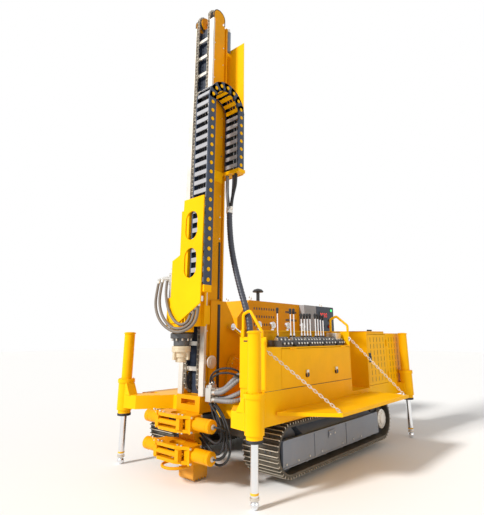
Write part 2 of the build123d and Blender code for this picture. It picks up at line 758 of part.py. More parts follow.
# Mast foot: slotted frame under the rails, spine for the clamps and a toothed box below
foot_z = (640, mast_bottom)
spine_y = (100, 200)
with BuildPart() as mast_foot:
    block((-mast_half, mast_half), (spine_y[0], mast_rear), foot_z)
    foot_slot = (foot_z[0] + 70, foot_z[1] - 40)
    block((-110, 110), (spine_y[0] - 10, spine_y[1] - 20), foot_slot, mode=Mode.SUBTRACT)
    block((-120, 120), spine_y, (clamp_z[0] - 90, foot_z[0]))
    block((-110, 110), (spine_y[0] + 10, 300), (30, clamp_z[0] - 90))
    for place in range(5):
        y = spine_y[0] + 10 + place * 38
        plate_x([(y, 30), (y + 38, 30), (y + 19, 8)], (-110, 110))
keep(mast_foot, "mast_foot")


# Clamps: body with a round passage and a window, square flanges, jaw cylinders and a front link
def clamp(z, spine):
    """Jaw clamp at height z, reaching back to the plane spine."""
    body = (
        (-clamp_half, axis_y - 70),
        (-150, axis_y - 130),
        (110, axis_y - 130),
        (clamp_half, axis_y - 70),
        (clamp_half, axis_y + 60),
        (150, spine),
        (-150, spine),
        (-clamp_half, axis_y + 60),
    )
    for low, high in ((z - 78, z - 48), (z + 48, z + 78)):
        plate_z(body, (low, high))
    for side in (1, -1):
        block(both((clamp_half - 60, clamp_half), side), (axis_y - 70, axis_y + 60), (z - 48, z + 48))
        block(both((clamp_half, clamp_half + 24), side), (axis_y - 78, axis_y + 78), (z - 84, z + 78))
        rod((side * (clamp_half + 24), axis_y, z), (side * clamp_reach, axis_y, z), 62)
        rod((side * 90, axis_y, z), (side * (clamp_half - 60), axis_y, z), 40)
    block((-150, 150), (spine - 37, spine), (z - 48, z + 48))
    for x in ((-200, -150), (130, 180)):
        block(x, (axis_y - 138, axis_y - 92), (z - 48, z + 48))
    rod((-150, axis_y - 115, z), (130, axis_y - 115, z), 24)
    rod((0, axis_y, z - 90), (0, axis_y, z + 90), 80, mode=Mode.SUBTRACT)


with BuildPart() as lower_clamp:
    clamp(clamp_z[0], spine_y[0])
keep(lower_clamp, "lower_clamp")
with BuildPart() as upper_clamp:
    clamp(clamp_z[1], spine_y[0])
keep(upper_clamp, "upper_clamp")

# Guard plate behind the drag chain, on brackets from the mast
guard_y = (500, 506)
guard_x = (60, 400)
guard_z = (3300, 5200)
with BuildPart() as chain_guard:
    block(guard_x, guard_y, guard_z)
    for z in (3420, 4250, 5080):
        block((110, 170), (mast_rear + 60, guard_y[0]), (z, z + 40))
keep(chain_guard, "chain_guard")


# Drag chain: two side bands and a cross bar for each link
def band_run(y, z_low, z_high):
    """Straight run of the drag chain centred on y."""
    half = drag_height / 2
    for x in ((drag_x[0], drag_x[0] + drag_band), (drag_x[1] - drag_band, drag_x[1])):
        block(x, (y - half, y + half), (z_low, z_high))
    count = int((z_high - z_low) / drag_pitch)
    for place in range(count):
        z = z_low + (place + 0.5) * (z_high - z_low) / count
        for face in (-1, 1):
            outer = y + face * (half - 12)
            block((drag_x[0] + drag_band, drag_x[1] - drag_band), (outer - 6, outer + 6), (z - 18, z + 18))


drag_front_y = drag_centre[0] - drag_radius
drag_back_y = drag_centre[0] + drag_radius
with BuildPart() as drag_chain_front:
    band_run(drag_front_y, drag_front_end, drag_centre[1])
keep(drag_chain_front, "drag_chain_front")
with BuildPart() as drag_chain_back:
    band_run(drag_back_y, drag_back_end, drag_centre[1])
keep(drag_chain_back, "drag_chain_back")
with BuildPart() as drag_chain_loop:
    for x in (drag_x[0], drag_x[1] - drag_band):
        with BuildSketch(Plane(origin=(x, *drag_centre), x_dir=(0, 1, 0), z_dir=(1, 0, 0))) as bend:
            Circle(drag_radius + drag_height / 2)
            Circle(drag_radius - drag_height / 2, mode=Mode.SUBTRACT)
            Rectangle(3 * drag_radius, 3 * drag_radius, align=(Align.CENTER, Align.MAX), mode=Mode.SUBTRACT)
        extrude(bend.sketch, amount=drag_band)
    links = 7
    for place in range(links):
        turn = radians((place + 0.5) * 180 / links)
        for face in (-1, 1):
            reach = drag_radius + face * (drag_height / 2 - 12)
            spot = (
                (drag_x[0] + drag_x[1]) / 2,
                drag_centre[0] - reach * cos(turn),
                drag_centre[1] + reach * sin(turn),
            )
            with Locations(Plane(origin=spot, x_dir=(1, 0, 0), z_dir=(0, -cos(turn), sin(turn)))):
                Box(drag_x[1] - drag_x[0] - 2 * drag_band, 36, 12)
keep(drag_chain_loop, "drag_chain_loop")

# Bracket on the mast's side that holds the drag chain's fixed end
with BuildPart() as hose_bracket:
    shelf_y = (drag_back_y - 60, drag_back_y + 60)
    block((mast_half, drag_x[1] + 14), shelf_y, (drag_back_end - 40, drag_back_end))
    block((mast_half, mast_half + 8), (mast_front + 60, shelf_y[0]), (drag_back_end - 140, drag_back_end))
keep(hose_bracket, "hose_bracket")

# Carriage: plate with shoes that grip the guide rails, rib, guard plate and the chain's moving bracket
with BuildPart() as carriage:
    block((-225, 225), carriage_plate, carriage_z)
    for side in (1, -1):
        for z in (carriage_z[0] + 20, carriage_z[1] - 220):
            block(both((205, 225), side), (carriage_plate[0], 172), (z, z + 200))
            block(both((186, 225), side), (mast_front + slide_gap, 172), (z, z + 200))
            block(both((130, 205), side), (carriage_plate[1], rail_front - slide_gap), (z, z + 200))
    block((160, 175), (-135, carriage_plate[0]), carriage_z)
    block((175, drag_x[1]), (drag_front_y - 52, drag_front_y + 52), (drag_front_end - 70, drag_front_end))
keep(carriage, "carriage")
guard_plate_y = (-150, -135)
head_plate = (  # X, Z
    (-60, 1530),
    (75, 1530),
    (410, 1726),
    (420, 2870),
    (100, 2870),
    (85, 2260),
    (-60, 2200),
)
with BuildPart() as head_guard:
    plate_y(head_plate, guard_plate_y)
    for z in (2150, 2560):
        with BuildSketch(Plane.XZ.offset(-guard_plate_y[0] + 1)) as hole:
            with Locations((235, z)):
                SlotOverall(320, 190, rotation=90)
        extrude(hole.sketch, amount=-30, mode=Mode.SUBTRACT)
keep(head_guard, "head_guard")

# Rotary head: gearbox, two motors, swivel and bottom flange
head_bore = 50
with BuildPart() as rotary_head:
    block((-130, 130), (-135, carriage_plate[0]), head_z)
    rod((0, axis_y, head_z[0] - 60), (0, axis_y, head_z[0]), 125)
    for side in (1, -1):
        rod((side * 68, axis_y, head_z[1]), (side * 68, axis_y, head_z[1] + 240), 60)
    rod((0, axis_y, head_z[0] - 70), (0, axis_y, head_z[0] + 150), head_bore + 0.05, mode=Mode.SUBTRACT)
keep(rotary_head, "rotary_head")

with BuildPart() as spindle:
    steps = (  # from, to, radius
        (spindle_bottom, 1180, 58),
        (1180, 1235, 74),
        (1235, 1300, 100),
        (1300, 1375, 84),
        (1375, head_z[0] - 65, 120),
        (head_z[0] - 65, head_z[0] + 140, head_bore),
    )
    for low, high, radius in steps:
        rod((0, axis_y, low), (0, axis_y, high), radius)
    rod((0, axis_y, spindle_bottom - 1), (0, axis_y, spindle_bottom + 90), 38, mode=Mode.SUBTRACT)
keep(spindle, "spindle")
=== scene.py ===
"""Looks of the anchor drilling rig: finishes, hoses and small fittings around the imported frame. Metres."""

from math import cos, pi, radians, sin

import bmesh
import bpy
from mathutils import Matrix, Vector


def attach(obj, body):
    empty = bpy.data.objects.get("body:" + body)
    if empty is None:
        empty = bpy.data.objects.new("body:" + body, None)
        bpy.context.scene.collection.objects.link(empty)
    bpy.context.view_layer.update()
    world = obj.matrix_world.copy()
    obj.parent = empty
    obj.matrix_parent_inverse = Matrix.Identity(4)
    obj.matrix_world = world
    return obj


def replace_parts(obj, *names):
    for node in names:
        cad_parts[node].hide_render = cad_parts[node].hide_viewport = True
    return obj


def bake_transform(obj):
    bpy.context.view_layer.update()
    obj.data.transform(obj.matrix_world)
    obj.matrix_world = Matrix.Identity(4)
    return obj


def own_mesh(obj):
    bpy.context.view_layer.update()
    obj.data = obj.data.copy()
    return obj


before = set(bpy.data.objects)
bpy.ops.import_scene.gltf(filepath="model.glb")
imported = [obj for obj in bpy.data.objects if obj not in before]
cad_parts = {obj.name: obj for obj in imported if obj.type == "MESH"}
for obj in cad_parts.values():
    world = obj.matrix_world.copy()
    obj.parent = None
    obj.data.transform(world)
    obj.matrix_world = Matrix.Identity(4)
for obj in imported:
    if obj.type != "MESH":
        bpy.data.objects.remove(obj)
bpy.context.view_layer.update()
scene = bpy.context.scene
scene.view_settings.view_transform = "Standard"


def aim(obj, direction):
    """Put a camera or lamp in the scene, facing along a direction."""
    obj.rotation_mode = "QUATERNION"
    obj.rotation_quaternion = Vector(direction).to_track_quat("-Z", "Y")
    scene.collection.objects.link(obj)


# Camera at the photograph's place, with its lens and framing
photo_width, photo_height = 484, 515
focal_pixels = 412.4
principal_point = (252.1, 224.2)
heading, pitch = radians(40.6), radians(15.2)
sensor = 36.0
camera_data = bpy.data.cameras.new("camera")
camera = bpy.data.objects.new("camera", camera_data)
camera.location = (3.5467, -3.0026, 1.3981)
aim(camera, (-sin(heading) * cos(pitch), cos(heading) * cos(pitch), sin(pitch)))
camera_data.sensor_width = sensor
camera_data.lens = focal_pixels * sensor / photo_height
camera_data.shift_x = (photo_width / 2 - principal_point[0]) / photo_height
camera_data.shift_y = (principal_point[1] - photo_height / 2) / photo_height
camera_data.clip_end = 200
bpy.context.scene.camera = camera


# Materials
def new_material(name):
    """Material with its shader, and what makes and links its nodes."""
    material = bpy.data.materials.new(name)
    material.use_nodes = True
    tree = material.node_tree
    return material, tree.nodes["Principled BSDF"], tree.nodes.new, tree.links.new


def noise(make, link, scale, detail=4.0, roughness=0.6):
    """Noise over the object's own coordinates."""
    texture = make("ShaderNodeTexNoise")
    texture.inputs["Scale"].default_value = scale
    texture.inputs["Detail"].default_value = detail
    texture.inputs["Roughness"].default_value = roughness
    link(make("ShaderNodeTexCoord").outputs["Object"], texture.inputs["Vector"])
    return texture.outputs["Fac"]


dust_color = (0.42, 0.34, 0.22)


def surface(
    name, color, rough, metallic=0.0, patches=0.10, grain=0.02, grain_scale=180, dust_top=0.0, gloss=0.5
):
    """Finish with slow colour patches, fine grain in the bump, and dust that fades up to a height."""
    material, shader, make, link = new_material(name)
    shader.inputs["Metallic"].default_value = metallic
    shader.inputs["Specular IOR Level"].default_value = gloss
    slow = noise(make, link, 3.1)
    ramp = make("ShaderNodeValToRGB")
    stops = zip(ramp.color_ramp.elements, (0.3, 0.7), (1 - patches, 1 + patches))
    for element, position, share in stops:
        element.position = position
        element.color = (*(channel * share for channel in color), 1)
    link(slow, ramp.inputs["Fac"])
    base = ramp.outputs["Color"]
    if dust_top:
        split = make("ShaderNodeSeparateXYZ")
        link(make("ShaderNodeTexCoord").outputs["Object"], split.inputs["Vector"])
        height = make("ShaderNodeMapRange")
        height.inputs["From Min"].default_value = dust_top
        height.inputs["From Max"].default_value = 0.0
        height.inputs["To Max"].default_value = 0.55
        link(split.outputs["Z"], height.inputs["Value"])
        amount = make("ShaderNodeMath")
        amount.operation = "MULTIPLY"
        link(height.outputs["Result"], amount.inputs[0])
        link(noise(make, link, 14, 6.0, 0.7), amount.inputs[1])
        dusty = make("ShaderNodeMix")
        dusty.data_type = "RGBA"
        factor, clean, over = (dusty.inputs[place] for place in (0, 6, 7))
        link(amount.outputs[0], factor)
        link(base, clean)
        over.default_value = (*dust_color, 1)
        base = dusty.outputs[2]
    link(base, shader.inputs["Base Color"])
    roughness = make("ShaderNodeMapRange")
    roughness.inputs["To Min"].default_value = max(rough - 0.08, 0.02)
    roughness.inputs["To Max"].default_value = rough + 0.10
    link(slow, roughness.inputs["Value"])
    link(roughness.outputs["Result"], shader.inputs["Roughness"])
    bump = make("ShaderNodeBump")
    bump.inputs["Strength"].default_value = grain * 10
    bump.inputs["Distance"].default_value = 0.001
    link(noise(make, link, grain_scale, 2.0), bump.inputs["Height"])
    link(bump.outputs["Normal"], shader.inputs["Normal"])
    return material


def glowing(name, color, strength):
    """Lit display or lamp."""
    material, shader, _, _ = new_material(name)
    shader.inputs["Base Color"].default_value = (*color, 1)
    shader.inputs["Emission Color"].default_value = (*color, 1)
    shader.inputs["Emission Strength"].default_value = strength
    shader.inputs["Roughness"].default_value = 0.3
    return material


yellow = surface(
    "yellow paint", (0.95, 0.49, 0.002), 0.36, patches=0.05, grain=0.012, dust_top=0.35, gloss=0.08
)
# Darker copy of the yellow paint: painted shade for the mast, tilt frame, clamps and hood wall, which lie in
# shade
shade_darkened_yellow = surface(
    "yellow paint darkened as painted shade", (0.80, 0.345, 0.002), 0.36, patches=0.08, grain=0.012, dust_top=0.2, gloss=0.10
)
frame_paint = surface("grey blue paint", (0.175, 0.215, 0.29), 0.40, dust_top=0.6)
track_steel = surface("track steel", (0.020, 0.022, 0.026), 0.55, 0.3, patches=0.25, grain=0.05, dust_top=0.9)
worn_steel = surface(
    "worn grouser steel", (0.62, 0.56, 0.47), 0.5, 0.45, patches=0.22, grain=0.05, grain_scale=90
)
cast_steel = surface("cast steel", (0.10, 0.10, 0.105), 0.5, 0.6, patches=0.2, grain=0.05)
bright_steel = surface("bright steel", (0.62, 0.58, 0.52), 0.34, 0.85, patches=0.08)
chain_steel = surface("chain steel", (0.50, 0.45, 0.37), 0.42, 0.7, patches=0.15, grain=0.03)
chrome = surface("chrome rod", (0.78, 0.80, 0.83), 0.14, 1.0, patches=0.03, grain=0.002)
zinc = surface("zinc fittings", (0.66, 0.64, 0.60), 0.32, 0.9)
# Black paint; its sheets behind the slots of the cabinet and hood are painted shade
black_paint_and_slot_shade = surface("black paint and painted slot shade", (0.016, 0.017, 0.019), 0.38, patches=0.2)
# Black rubber; its strips in the console's front slots are painted shade
black_rubber_and_slot_shade = surface("black rubber and painted slot shade", (0.014, 0.014, 0.016), 0.62, patches=0.2, grain=0.04)
hose_cover = surface("grey brown hose cover", (0.17, 0.14, 0.115), 0.55, patches=0.15, grain=0.04)
wrap_grey = surface("grey spiral wrap", (0.23, 0.225, 0.23), 0.5, patches=0.18, grain=0.03)
wrap_dark = surface("dark spiral wrap", (0.045, 0.05, 0.07), 0.42, patches=0.2, grain=0.03)
chain_plastic = surface("drag chain plastic", (0.022, 0.036, 0.068), 0.45, patches=0.15)
bar_plastic = surface("drag chain bars", (0.36, 0.36, 0.38), 0.5)
# Dark blue for the sheets of painted shade in the mast's recess
recess_shade_blue = surface("dark blue painted recess shade", (0.020, 0.030, 0.055), 0.45, patches=0.15)
box_grey = surface("grey box paint", (0.30, 0.31, 0.33), 0.42, patches=0.06)
panel_blue = surface("dark panel paint", (0.012, 0.022, 0.050), 0.38)
white_dial = surface("white dial", (0.82, 0.82, 0.80), 0.35, patches=0.02)
knob_red = surface("red knob", (0.75, 0.02, 0.015), 0.3, patches=0.03)
pale_steel = surface("pale plated steel", (0.70, 0.66, 0.60), 0.40, 0.55)
chuck_paint = surface("pale chuck paint", (0.62, 0.52, 0.37), 0.45, 0.2, patches=0.12, grain=0.03)
display_red = glowing("red display", (1.0, 0.03, 0.02), 1.6)
lamp_green = glowing("green lamp", (0.05, 0.75, 0.18), 1.2)

finished_nodes = (
    (track_steel, "carrier track_right track_left"),
    (frame_paint, "track_frames"),
    (cast_steel, "running_gear power_unit spindle"),
    (black_paint_and_slot_shade, "rain_cap tilt_barrels"),
    (box_grey, "electrical_box"),
    (panel_blue, "control_panel"),
    (pale_steel, "platform_chains guide_rails cross_bars"),
    (chrome, "jack_rod_front_right jack_rod_front_left jack_rod_rear_right jack_rod_rear_left tilt_rods"),
    (chain_steel, "feed_chains"),
    (chain_plastic, "drag_chain_front drag_chain_back drag_chain_loop"),
    (zinc, "valve_bank gauges"),
    # The mast, tilt frame, clamps, lugs and hood shell take the darker yellow as painted shade
    (shade_darkened_yellow, "mast_beam mast_foot tilt_frame lower_clamp upper_clamp pivot_lugs hood_shell"),
)
node_finish = {name: finish for finish, names in finished_nodes for name in names.split()}
for name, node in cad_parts.items():
    node.data.materials.clear()
    node.data.materials.append(node_finish.get(name, yellow))


# Light: one broad key from the front, a warm fill from the operator's side and a plain world
def lamp(name, kind, place, direction, watts, color):
    """Lamp at a place, shining along a direction."""
    data = bpy.data.lights.new(name, kind)
    data.energy = watts
    data.color = color
    made = bpy.data.objects.new(name, data)
    made.location = place
    aim(made, direction)
    return data


lamp("sun", "SUN", (0, 0, 0), (0.17, 0.85, -0.52), 3.6, (1.0, 0.98, 0.94)).angle = radians(9)
fill_place, fill_target = Vector((7.5, 1.5, 3.5)), Vector((0, 1.5, 1.6))
lamp("fill", "AREA", fill_place, fill_target - fill_place, 85, (1.0, 0.80, 0.56)).size = 5.0

world = bpy.data.worlds.new("studio")
world.use_nodes = True
scene.world = world
tree = world.node_tree
seen = tree.nodes.new("ShaderNodeLightPath")
shown = seen.outputs["Is Camera Ray"]
for kind in ("Is Glossy Ray", "Is Transmission Ray"):
    either = tree.nodes.new("ShaderNodeMath")
    either.operation = "MAXIMUM"
    tree.links.new(shown, either.inputs[0])
    tree.links.new(seen.outputs[kind], either.inputs[1])
    shown = either.outputs[0]
strength = tree.nodes.new("ShaderNodeMapRange")
strength.inputs["To Min"].default_value = 0.44
strength.inputs["To Max"].default_value = 1.0
tree.links.new(shown, strength.inputs["Value"])
tree.nodes["Background"].inputs["Color"].default_value = (1, 1, 1, 1)
tree.links.new(strength.outputs["Result"], tree.nodes["Background"].inputs["Strength"])

# Floor: pale, with the machine's shadow
reach = 40
floor_mesh = bpy.data.meshes.new("floor")
floor_corners = [(-reach, -reach, 0), (reach, -reach, 0), (reach, reach, 0), (-reach, reach, 0)]
floor_mesh.from_pydata(floor_corners, [], [(0, 1, 2, 3)])
floor = bpy.data.objects.new("floor", floor_mesh)
scene.collection.objects.link(floor)
floor_material, floor_shader, _, _ = new_material("pale floor")
floor_shader.inputs["Base Color"].default_value = (0.95, 0.95, 0.95, 1)
floor_shader.inputs["Roughness"].default_value = 0.9
floor_mesh.materials.append(floor_material)


# Mesh kit
def span(middle, half):
    """Low and high value about a middle."""
    return middle - half, middle + half


def on_circle(radius, place, count, start=0.0):
    """Two offsets for one of count places round a circle."""
    turn = start + 2 * pi * place / count
    return radius * cos(turn), radius * sin(turn)


class Shape:
    """Small forms joined into one mesh, in the row frame."""

    def __init__(self):
        self.mesh = bmesh.new()

    def box(self, x, y, z, turn=None, about=None):
        """Box between two values on each axis, turned by a matrix about a point."""
        middle = Vector([sum(pair) / 2 for pair in (x, y, z)])
        made = bmesh.ops.create_cube(self.mesh, size=1)["verts"]
        bmesh.ops.scale(self.mesh, vec=[abs(high - low) for low, high in (x, y, z)], verts=made)
        bmesh.ops.translate(self.mesh, vec=middle, verts=made)
        if turn is not None:
            bmesh.ops.rotate(self.mesh, cent=about or middle, matrix=turn, verts=made)

    def rod(self, start, end, radius, sides=24):
        """Round or six-sided bar between two points."""
        start, end = Vector(start), Vector(end)
        line = end - start
        made = bmesh.ops.create_cone(
            self.mesh, cap_ends=True, segments=sides, radius1=radius, radius2=radius, depth=line.length
        )["verts"]
        turn = line.to_track_quat("Z", "Y").to_matrix()
        bmesh.ops.rotate(self.mesh, cent=(0, 0, 0), matrix=turn, verts=made)
        bmesh.ops.translate(self.mesh, vec=(start + end) / 2, verts=made)

    def stud(self, spot, out, radius, sides=6, sunk=0.0):
        """Bolt head from a spot outwards; sunk is the share of it that lies below the spot."""
        spot, out = Vector(spot), Vector(out)
        self.rod(spot - out * sunk, spot + out, radius, sides)

    def ball(self, centre, radius):
        """Ball about a point."""
        made = bmesh.ops.create_uvsphere(self.mesh, u_segments=20, v_segments=12, radius=radius)["verts"]
        bmesh.ops.translate(self.mesh, vec=centre, verts=made)

    def skin(self, rings, closed=False):
        """Faces over rings of points, closed into a loop or capped at both ends."""
        rings = [[self.mesh.verts.new(point) for point in ring] for ring in rings]
        for low, high in zip(rings, rings[1:] + rings[:1] if closed else rings[1:]):
            for side in range(len(low)):
                after = (side + 1) % len(low)
                self.mesh.faces.new((low[side], low[after], high[after], high[side]))
        if not closed:
            self.mesh.faces.new(list(reversed(rings[0])))
            self.mesh.faces.new(rings[-1])

    def lathe(self, base, axis, profile, sides=32):
        """Turned form: profile is (distance along the axis, radius) from base."""
        base = Vector(base)
        turn = Vector(axis).normalized().to_track_quat("Z", "Y").to_matrix()
        self.skin(
            [
                [base + turn @ Vector((*on_circle(radius, side, sides), along)) for side in range(sides)]
                for along, radius in profile
            ]
        )

    def ring(self, centre, normal, radius, tube, sides=12, turns=32):
        """Closed ring."""
        centre = Vector(centre)
        turn = Vector(normal).normalized().to_track_quat("Z", "Y").to_matrix()
        rings = []
        for place in range(turns):
            out = Vector((*on_circle(1, place, turns), 0))
            bends = [on_circle(tube, side, sides) for side in range(sides)]
            rings.append(
                [centre + turn @ (out * (radius + wide) + Vector((0, 0, rise))) for wide, rise in bends]
            )
        self.skin(rings, closed=True)

    def upright(self, outline, low, high):
        """Flat outline of (X, Y) from a low to a high level."""
        self.skin([[(*point, level) for point in outline] for level in (low, high)])

    def tube(self, line, radius, sides, spacing, ridge=0.0, pitch=0.03):
        """Tube along a line, with a helical ridge of a given share of its radius."""
        lengths = [0.0]
        for low, high in zip(line, line[1:]):
            lengths.append(lengths[-1] + (high - low).length)
        count = max(int(lengths[-1] / spacing), 2)
        rings = []
        across = None
        place = 0
        for step in range(count + 1):
            distance = lengths[-1] * step / count
            while place < len(line) - 2 and lengths[place + 1] < distance:
                place += 1
            share = (distance - lengths[place]) / max(lengths[place + 1] - lengths[place], 1e-9)
            point = line[place].lerp(line[place + 1], share)
            along = (line[place + 1] - line[place]).normalized()
            if across is None:
                across = along.orthogonal().normalized()
            across = (across - along * across.dot(along)).normalized()
            other = along.cross(across)
            ring = []
            for side in range(sides):
                right, up = on_circle(1, side, sides)
                raised = (distance / pitch + side / sides) % 1.0 < 0.72
                ring.append(point + (across * right + other * up) * radius * (1 if raised else 1 - ridge))
            rings.append(ring)
        self.skin(rings)

    def sleeve(self, end, inward, radius, length=0.046):
        """Crimped sleeve and nut beyond a hose's end, both points in millimetres; returns its outer end."""
        end, inward = Vector(end) / 1000, Vector(inward) / 1000
        out = (end - inward).normalized()
        wide, narrow = radius + 0.004, radius + 0.0005
        crimp, neck, nut = 0.55 * length, 0.6 * length, 0.7 * length
        profile = ((-0.006, narrow), (-0.005, wide), (crimp, wide), (neck, narrow), (nut, narrow))
        self.lathe(end, out, profile, 20)
        self.rod(end + out * 0.66 * length, end + out * length, radius + 0.005, 6)
        return end + out * length

    def pipe(self, points, radius):
        """Rigid pipe along points, with a ball at each corner."""
        for low, high in zip(points, points[1:]):
            self.rod(low, high, radius, 14)
        for point in points[1:-1]:
            self.ball(point, radius)

    def done(self, name, material, slot, bevel=0.0015, body="chassis", smooth_angle=40):
        """Finished object that rides on a body; given (body, body, start, end) instead, it stays where it is
        drawn.
        """
        bmesh.ops.recalc_face_normals(self.mesh, faces=self.mesh.faces)
        data = bpy.data.meshes.new(name)
        self.mesh.to_mesh(data)
        self.mesh.free()
        obj = bpy.data.objects.new(name, data)
        scene.collection.objects.link(obj)
        data.materials.append(material)
        data.shade_smooth()
        data.set_sharp_from_angle(angle=radians(smooth_angle))
        if bevel:
            soft_edges = obj.modifiers.new("edges", "BEVEL")
            soft_edges.width = bevel
            soft_edges.segments = 2
            soft_edges.limit_method = "ANGLE"
            soft_edges.angle_limit = radians(40)
        if isinstance(body, str):
            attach(obj, body)
        else:
            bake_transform(obj)
        return obj


def shapes(count):
    """Several empty shapes."""
    return [Shape() for _ in range(count)]


def smooth_line(points):
    """Close-set points along the smooth line that a hose's points control."""
    curve = bpy.data.curves.new("line", "CURVE")
    curve.dimensions = "3D"
    spline = curve.splines.new("NURBS")
    spline.points.add(len(points) - 1)
    for control, point in zip(spline.points, points):
        control.co = (*point, 1)
    spline.order_u = 3
    spline.use_endpoint_u = True
    spline.resolution_u = 16
    drawn = bpy.data.objects.new("line", curve)
    mesh = bpy.data.meshes.new_from_object(drawn)
    line = [vertex.co.copy() for vertex in mesh.vertices]
    bpy.data.objects.remove(drawn)
    bpy.data.meshes.remove(mesh)
    return line


def hose(name, line, radius, material, body, sides=16, spacing=0.012, ridge=0.0, pitch=0.03):
    """Hose along a line; body is the one body it rides on, or two bodies, and then it stays where it is
    drawn.
    """
    shape = Shape()
    shape.tube(line, radius, sides, spacing, ridge, pitch)
    body = body if isinstance(body, str) else (*body, tuple(line[0]), tuple(line[-1]))
    return shape.done(name, material, "valve_black", 0, body, smooth_angle=180)


def free_hose(name, points, radius, material, body, ends=(), stiffness="medium", **look):
    """Hose along points in millimetres, drawn along the smooth line they control; ends are the pieces on it,
    and are not used.
    """
    line = smooth_line([tuple(value / 1000 for value in point) for point in points])
    hose(name, line, radius, material, body, **look)


def tip_piece(name, route, radius, length, body):
    """Sleeve on a hose's far end, as a piece of its own."""
    tip = Shape()
    tip.sleeve(route[-1], route[-2], radius, length)
    return tip.done(name, zinc, "valve_black", 0.0006, body)


# Head: valve block over the gearbox, and three hoses to it from a block behind the guard plate
head_hoses = (  # route from behind the guard plate to the head's block, seat on that block
    (
        (
            (346, -112, 1700), (345, -118, 1590), (315, -152, 1500), (230, -182, 1450), (110, -206, 1435),
            (-30, -224, 1488), (-150, -228, 1580), (-225, -222, 1712), (-232, -212, 1840), (-218, -200, 1964),
        ),
        (-0.125, -0.122, 2.012),
    ),
    (
        (
            (290, -112, 1668), (287, -120, 1570), (240, -154, 1498), (150, -180, 1468), (45, -197, 1482),
            (-60, -202, 1548), (-142, -202, 1638), (-190, -196, 1746), (-201, -185, 1862), (-192, -170, 1978),
        ),
        (-0.125, -0.108, 2.036),
    ),
    (
        (
            (234, -112, 1635), (228, -121, 1565), (176, -150, 1510), (92, -168, 1522), (2, -174, 1592),
            (-70, -171, 1690), (-121, -162, 1798), (-150, -148, 1905), (-161, -128, 1992),
        ),
        (-0.125, -0.098, 2.050),
    ),
)
blocks, rib_fittings = shapes(2)
blocks.box((-0.130, 0.010), (-0.132, -0.084), (1.950, 2.075))
blocks.box((-0.120, -0.060), (-0.130, -0.086), (1.8003, 1.950))
blocks.box((0.1753, 0.372), (-0.130, -0.070), (1.744, 1.800))
for place in range(3):
    blocks.stud((-0.115 + place * 0.045, -0.130, 2.050), (0, -0.010, 0), 0.009)
elbow_y, elbow_z = -0.108, 2.125
elbow_profile = ((0, 0.022), (0.02, 0.022), (0.024, 0.016), (0.05, 0.016), (0.075, 0.019))
blocks.lathe((-0.066, elbow_y, 2.074), (0, 0, 1), elbow_profile)
for low, high, radius, sides in (
    (-0.066, -0.010, 0.013, 16),
    (-0.014, 0.008, 0.018, 6),
    (-0.120, -0.066, 0.007, 12),
):
    blocks.rod((low, elbow_y, elbow_z), (high, elbow_y, elbow_z), radius, sides)
blocks.done("head_blocks", zinc, "valve_black", 0.002, "head")
for number, (route, seat) in enumerate(head_hoses, 1):
    fitting = Shape()
    fitting.pipe((fitting.sleeve(route[-1], route[-2], 0.015), seat), 0.012)
    piece = fitting.done(f"head_fitting_{number}", zinc, "valve_black", 0.0008, "head")
    free_hose(f"head_hose_{number}", route, 0.015, hose_cover, "head", [piece], spacing=0.014)
    end = rib_fittings.sleeve(route[0], route[1], 0.015, 0.030)
    rib_fittings.pipe((end - Vector((0, 0, 0.002)), (end.x, end.y, 1.750)), 0.012)
rib_fittings.done("rib_fittings", zinc, "valve_black", 0.0008, "head")

# Hose bundle from the console to the mast's bracket, with the union that gathers the bracket's hoses
bundle_route = (
    (735, 246, 1305), (735, 246, 1420), (728, 247, 1510), (700, 249, 1610), (652, 253, 1730),
    (588, 262, 1875), (515, 276, 2050), (446, 292, 2235), (394, 308, 2410), (360, 323, 2575),
    (341, 333, 2700), (332, 341, 2790),
)
bracket_hoses = (  # route, radius, material, look
    (
        ((224, 408, 3300), (224, 408, 3175), (258, 374, 3040), (293, 357, 2940), (306, 349, 2862)),
        0.021, wrap_grey, {"ridge": 0.16, "pitch": 0.020, "spacing": 0.004},
    ),
    (
        ((366, 408, 3300), (366, 408, 3175), (362, 372, 3050), (353, 355, 2945), (350, 348, 2862)),
        0.019, black_rubber_and_slot_shade, {},
    ),
    (
        ((300, 432, 3300), (300, 432, 3175), (322, 398, 3050), (331, 378, 2945), (328, 366, 2856)),
        0.014, wrap_dark, {"ridge": 0.12, "pitch": 0.014, "spacing": 0.004},
    ),
)
gland, union = shapes(2)
gland_profile = ((0, 0.056), (0.010, 0.056), (0.012, 0.046), (0.034, 0.040), (0.048, 0.036))
gland.lathe((0.735, 0.246, 1.290), (0, 0, 1), gland_profile)
gland.done("bundle_gland", black_rubber_and_slot_shade, "valve_black")
union.sleeve(bundle_route[-1], bundle_route[-2], 0.034, 0.060)
for route, radius, _, _ in bracket_hoses:
    union.sleeve(route[-1], route[-2], radius, 0.026)
union_piece = union.done("hose_union", zinc, "valve_black", 0.001, "tilt_frame")
frame_bodies = ("chassis", "tilt_frame")
mast_bodies = ("mast", "tilt_frame")
bundle_look = {"stiffness": "stiff", "sides": 20, "spacing": 0.006, "ridge": 0.12, "pitch": 0.034}
free_hose("mast_hose_bundle", bundle_route, 0.033, wrap_dark, frame_bodies, [union_piece], **bundle_look)
for number, (route, radius, material, look) in enumerate(bracket_hoses, 1):
    free_hose(f"bracket_hose_{number}", route, radius, material, mast_bodies, **look)

# Drag chain: link plates, cross bars, round caps and the hoses it carries
drag_x = (0.208, 0.436)
drag_band = 0.018
drag_half = 0.052
drag_front_y, drag_back_y = -0.072, 0.420
drag_front_z, drag_back_z = (1.907, 4.082), (3.340, 4.082)
drag_centre, drag_radius = (0.174, 4.082), 0.246
drag_pitch = 0.109
cap_radius = 0.022
bar_reach = 0.024
lap_thick = 0.0015


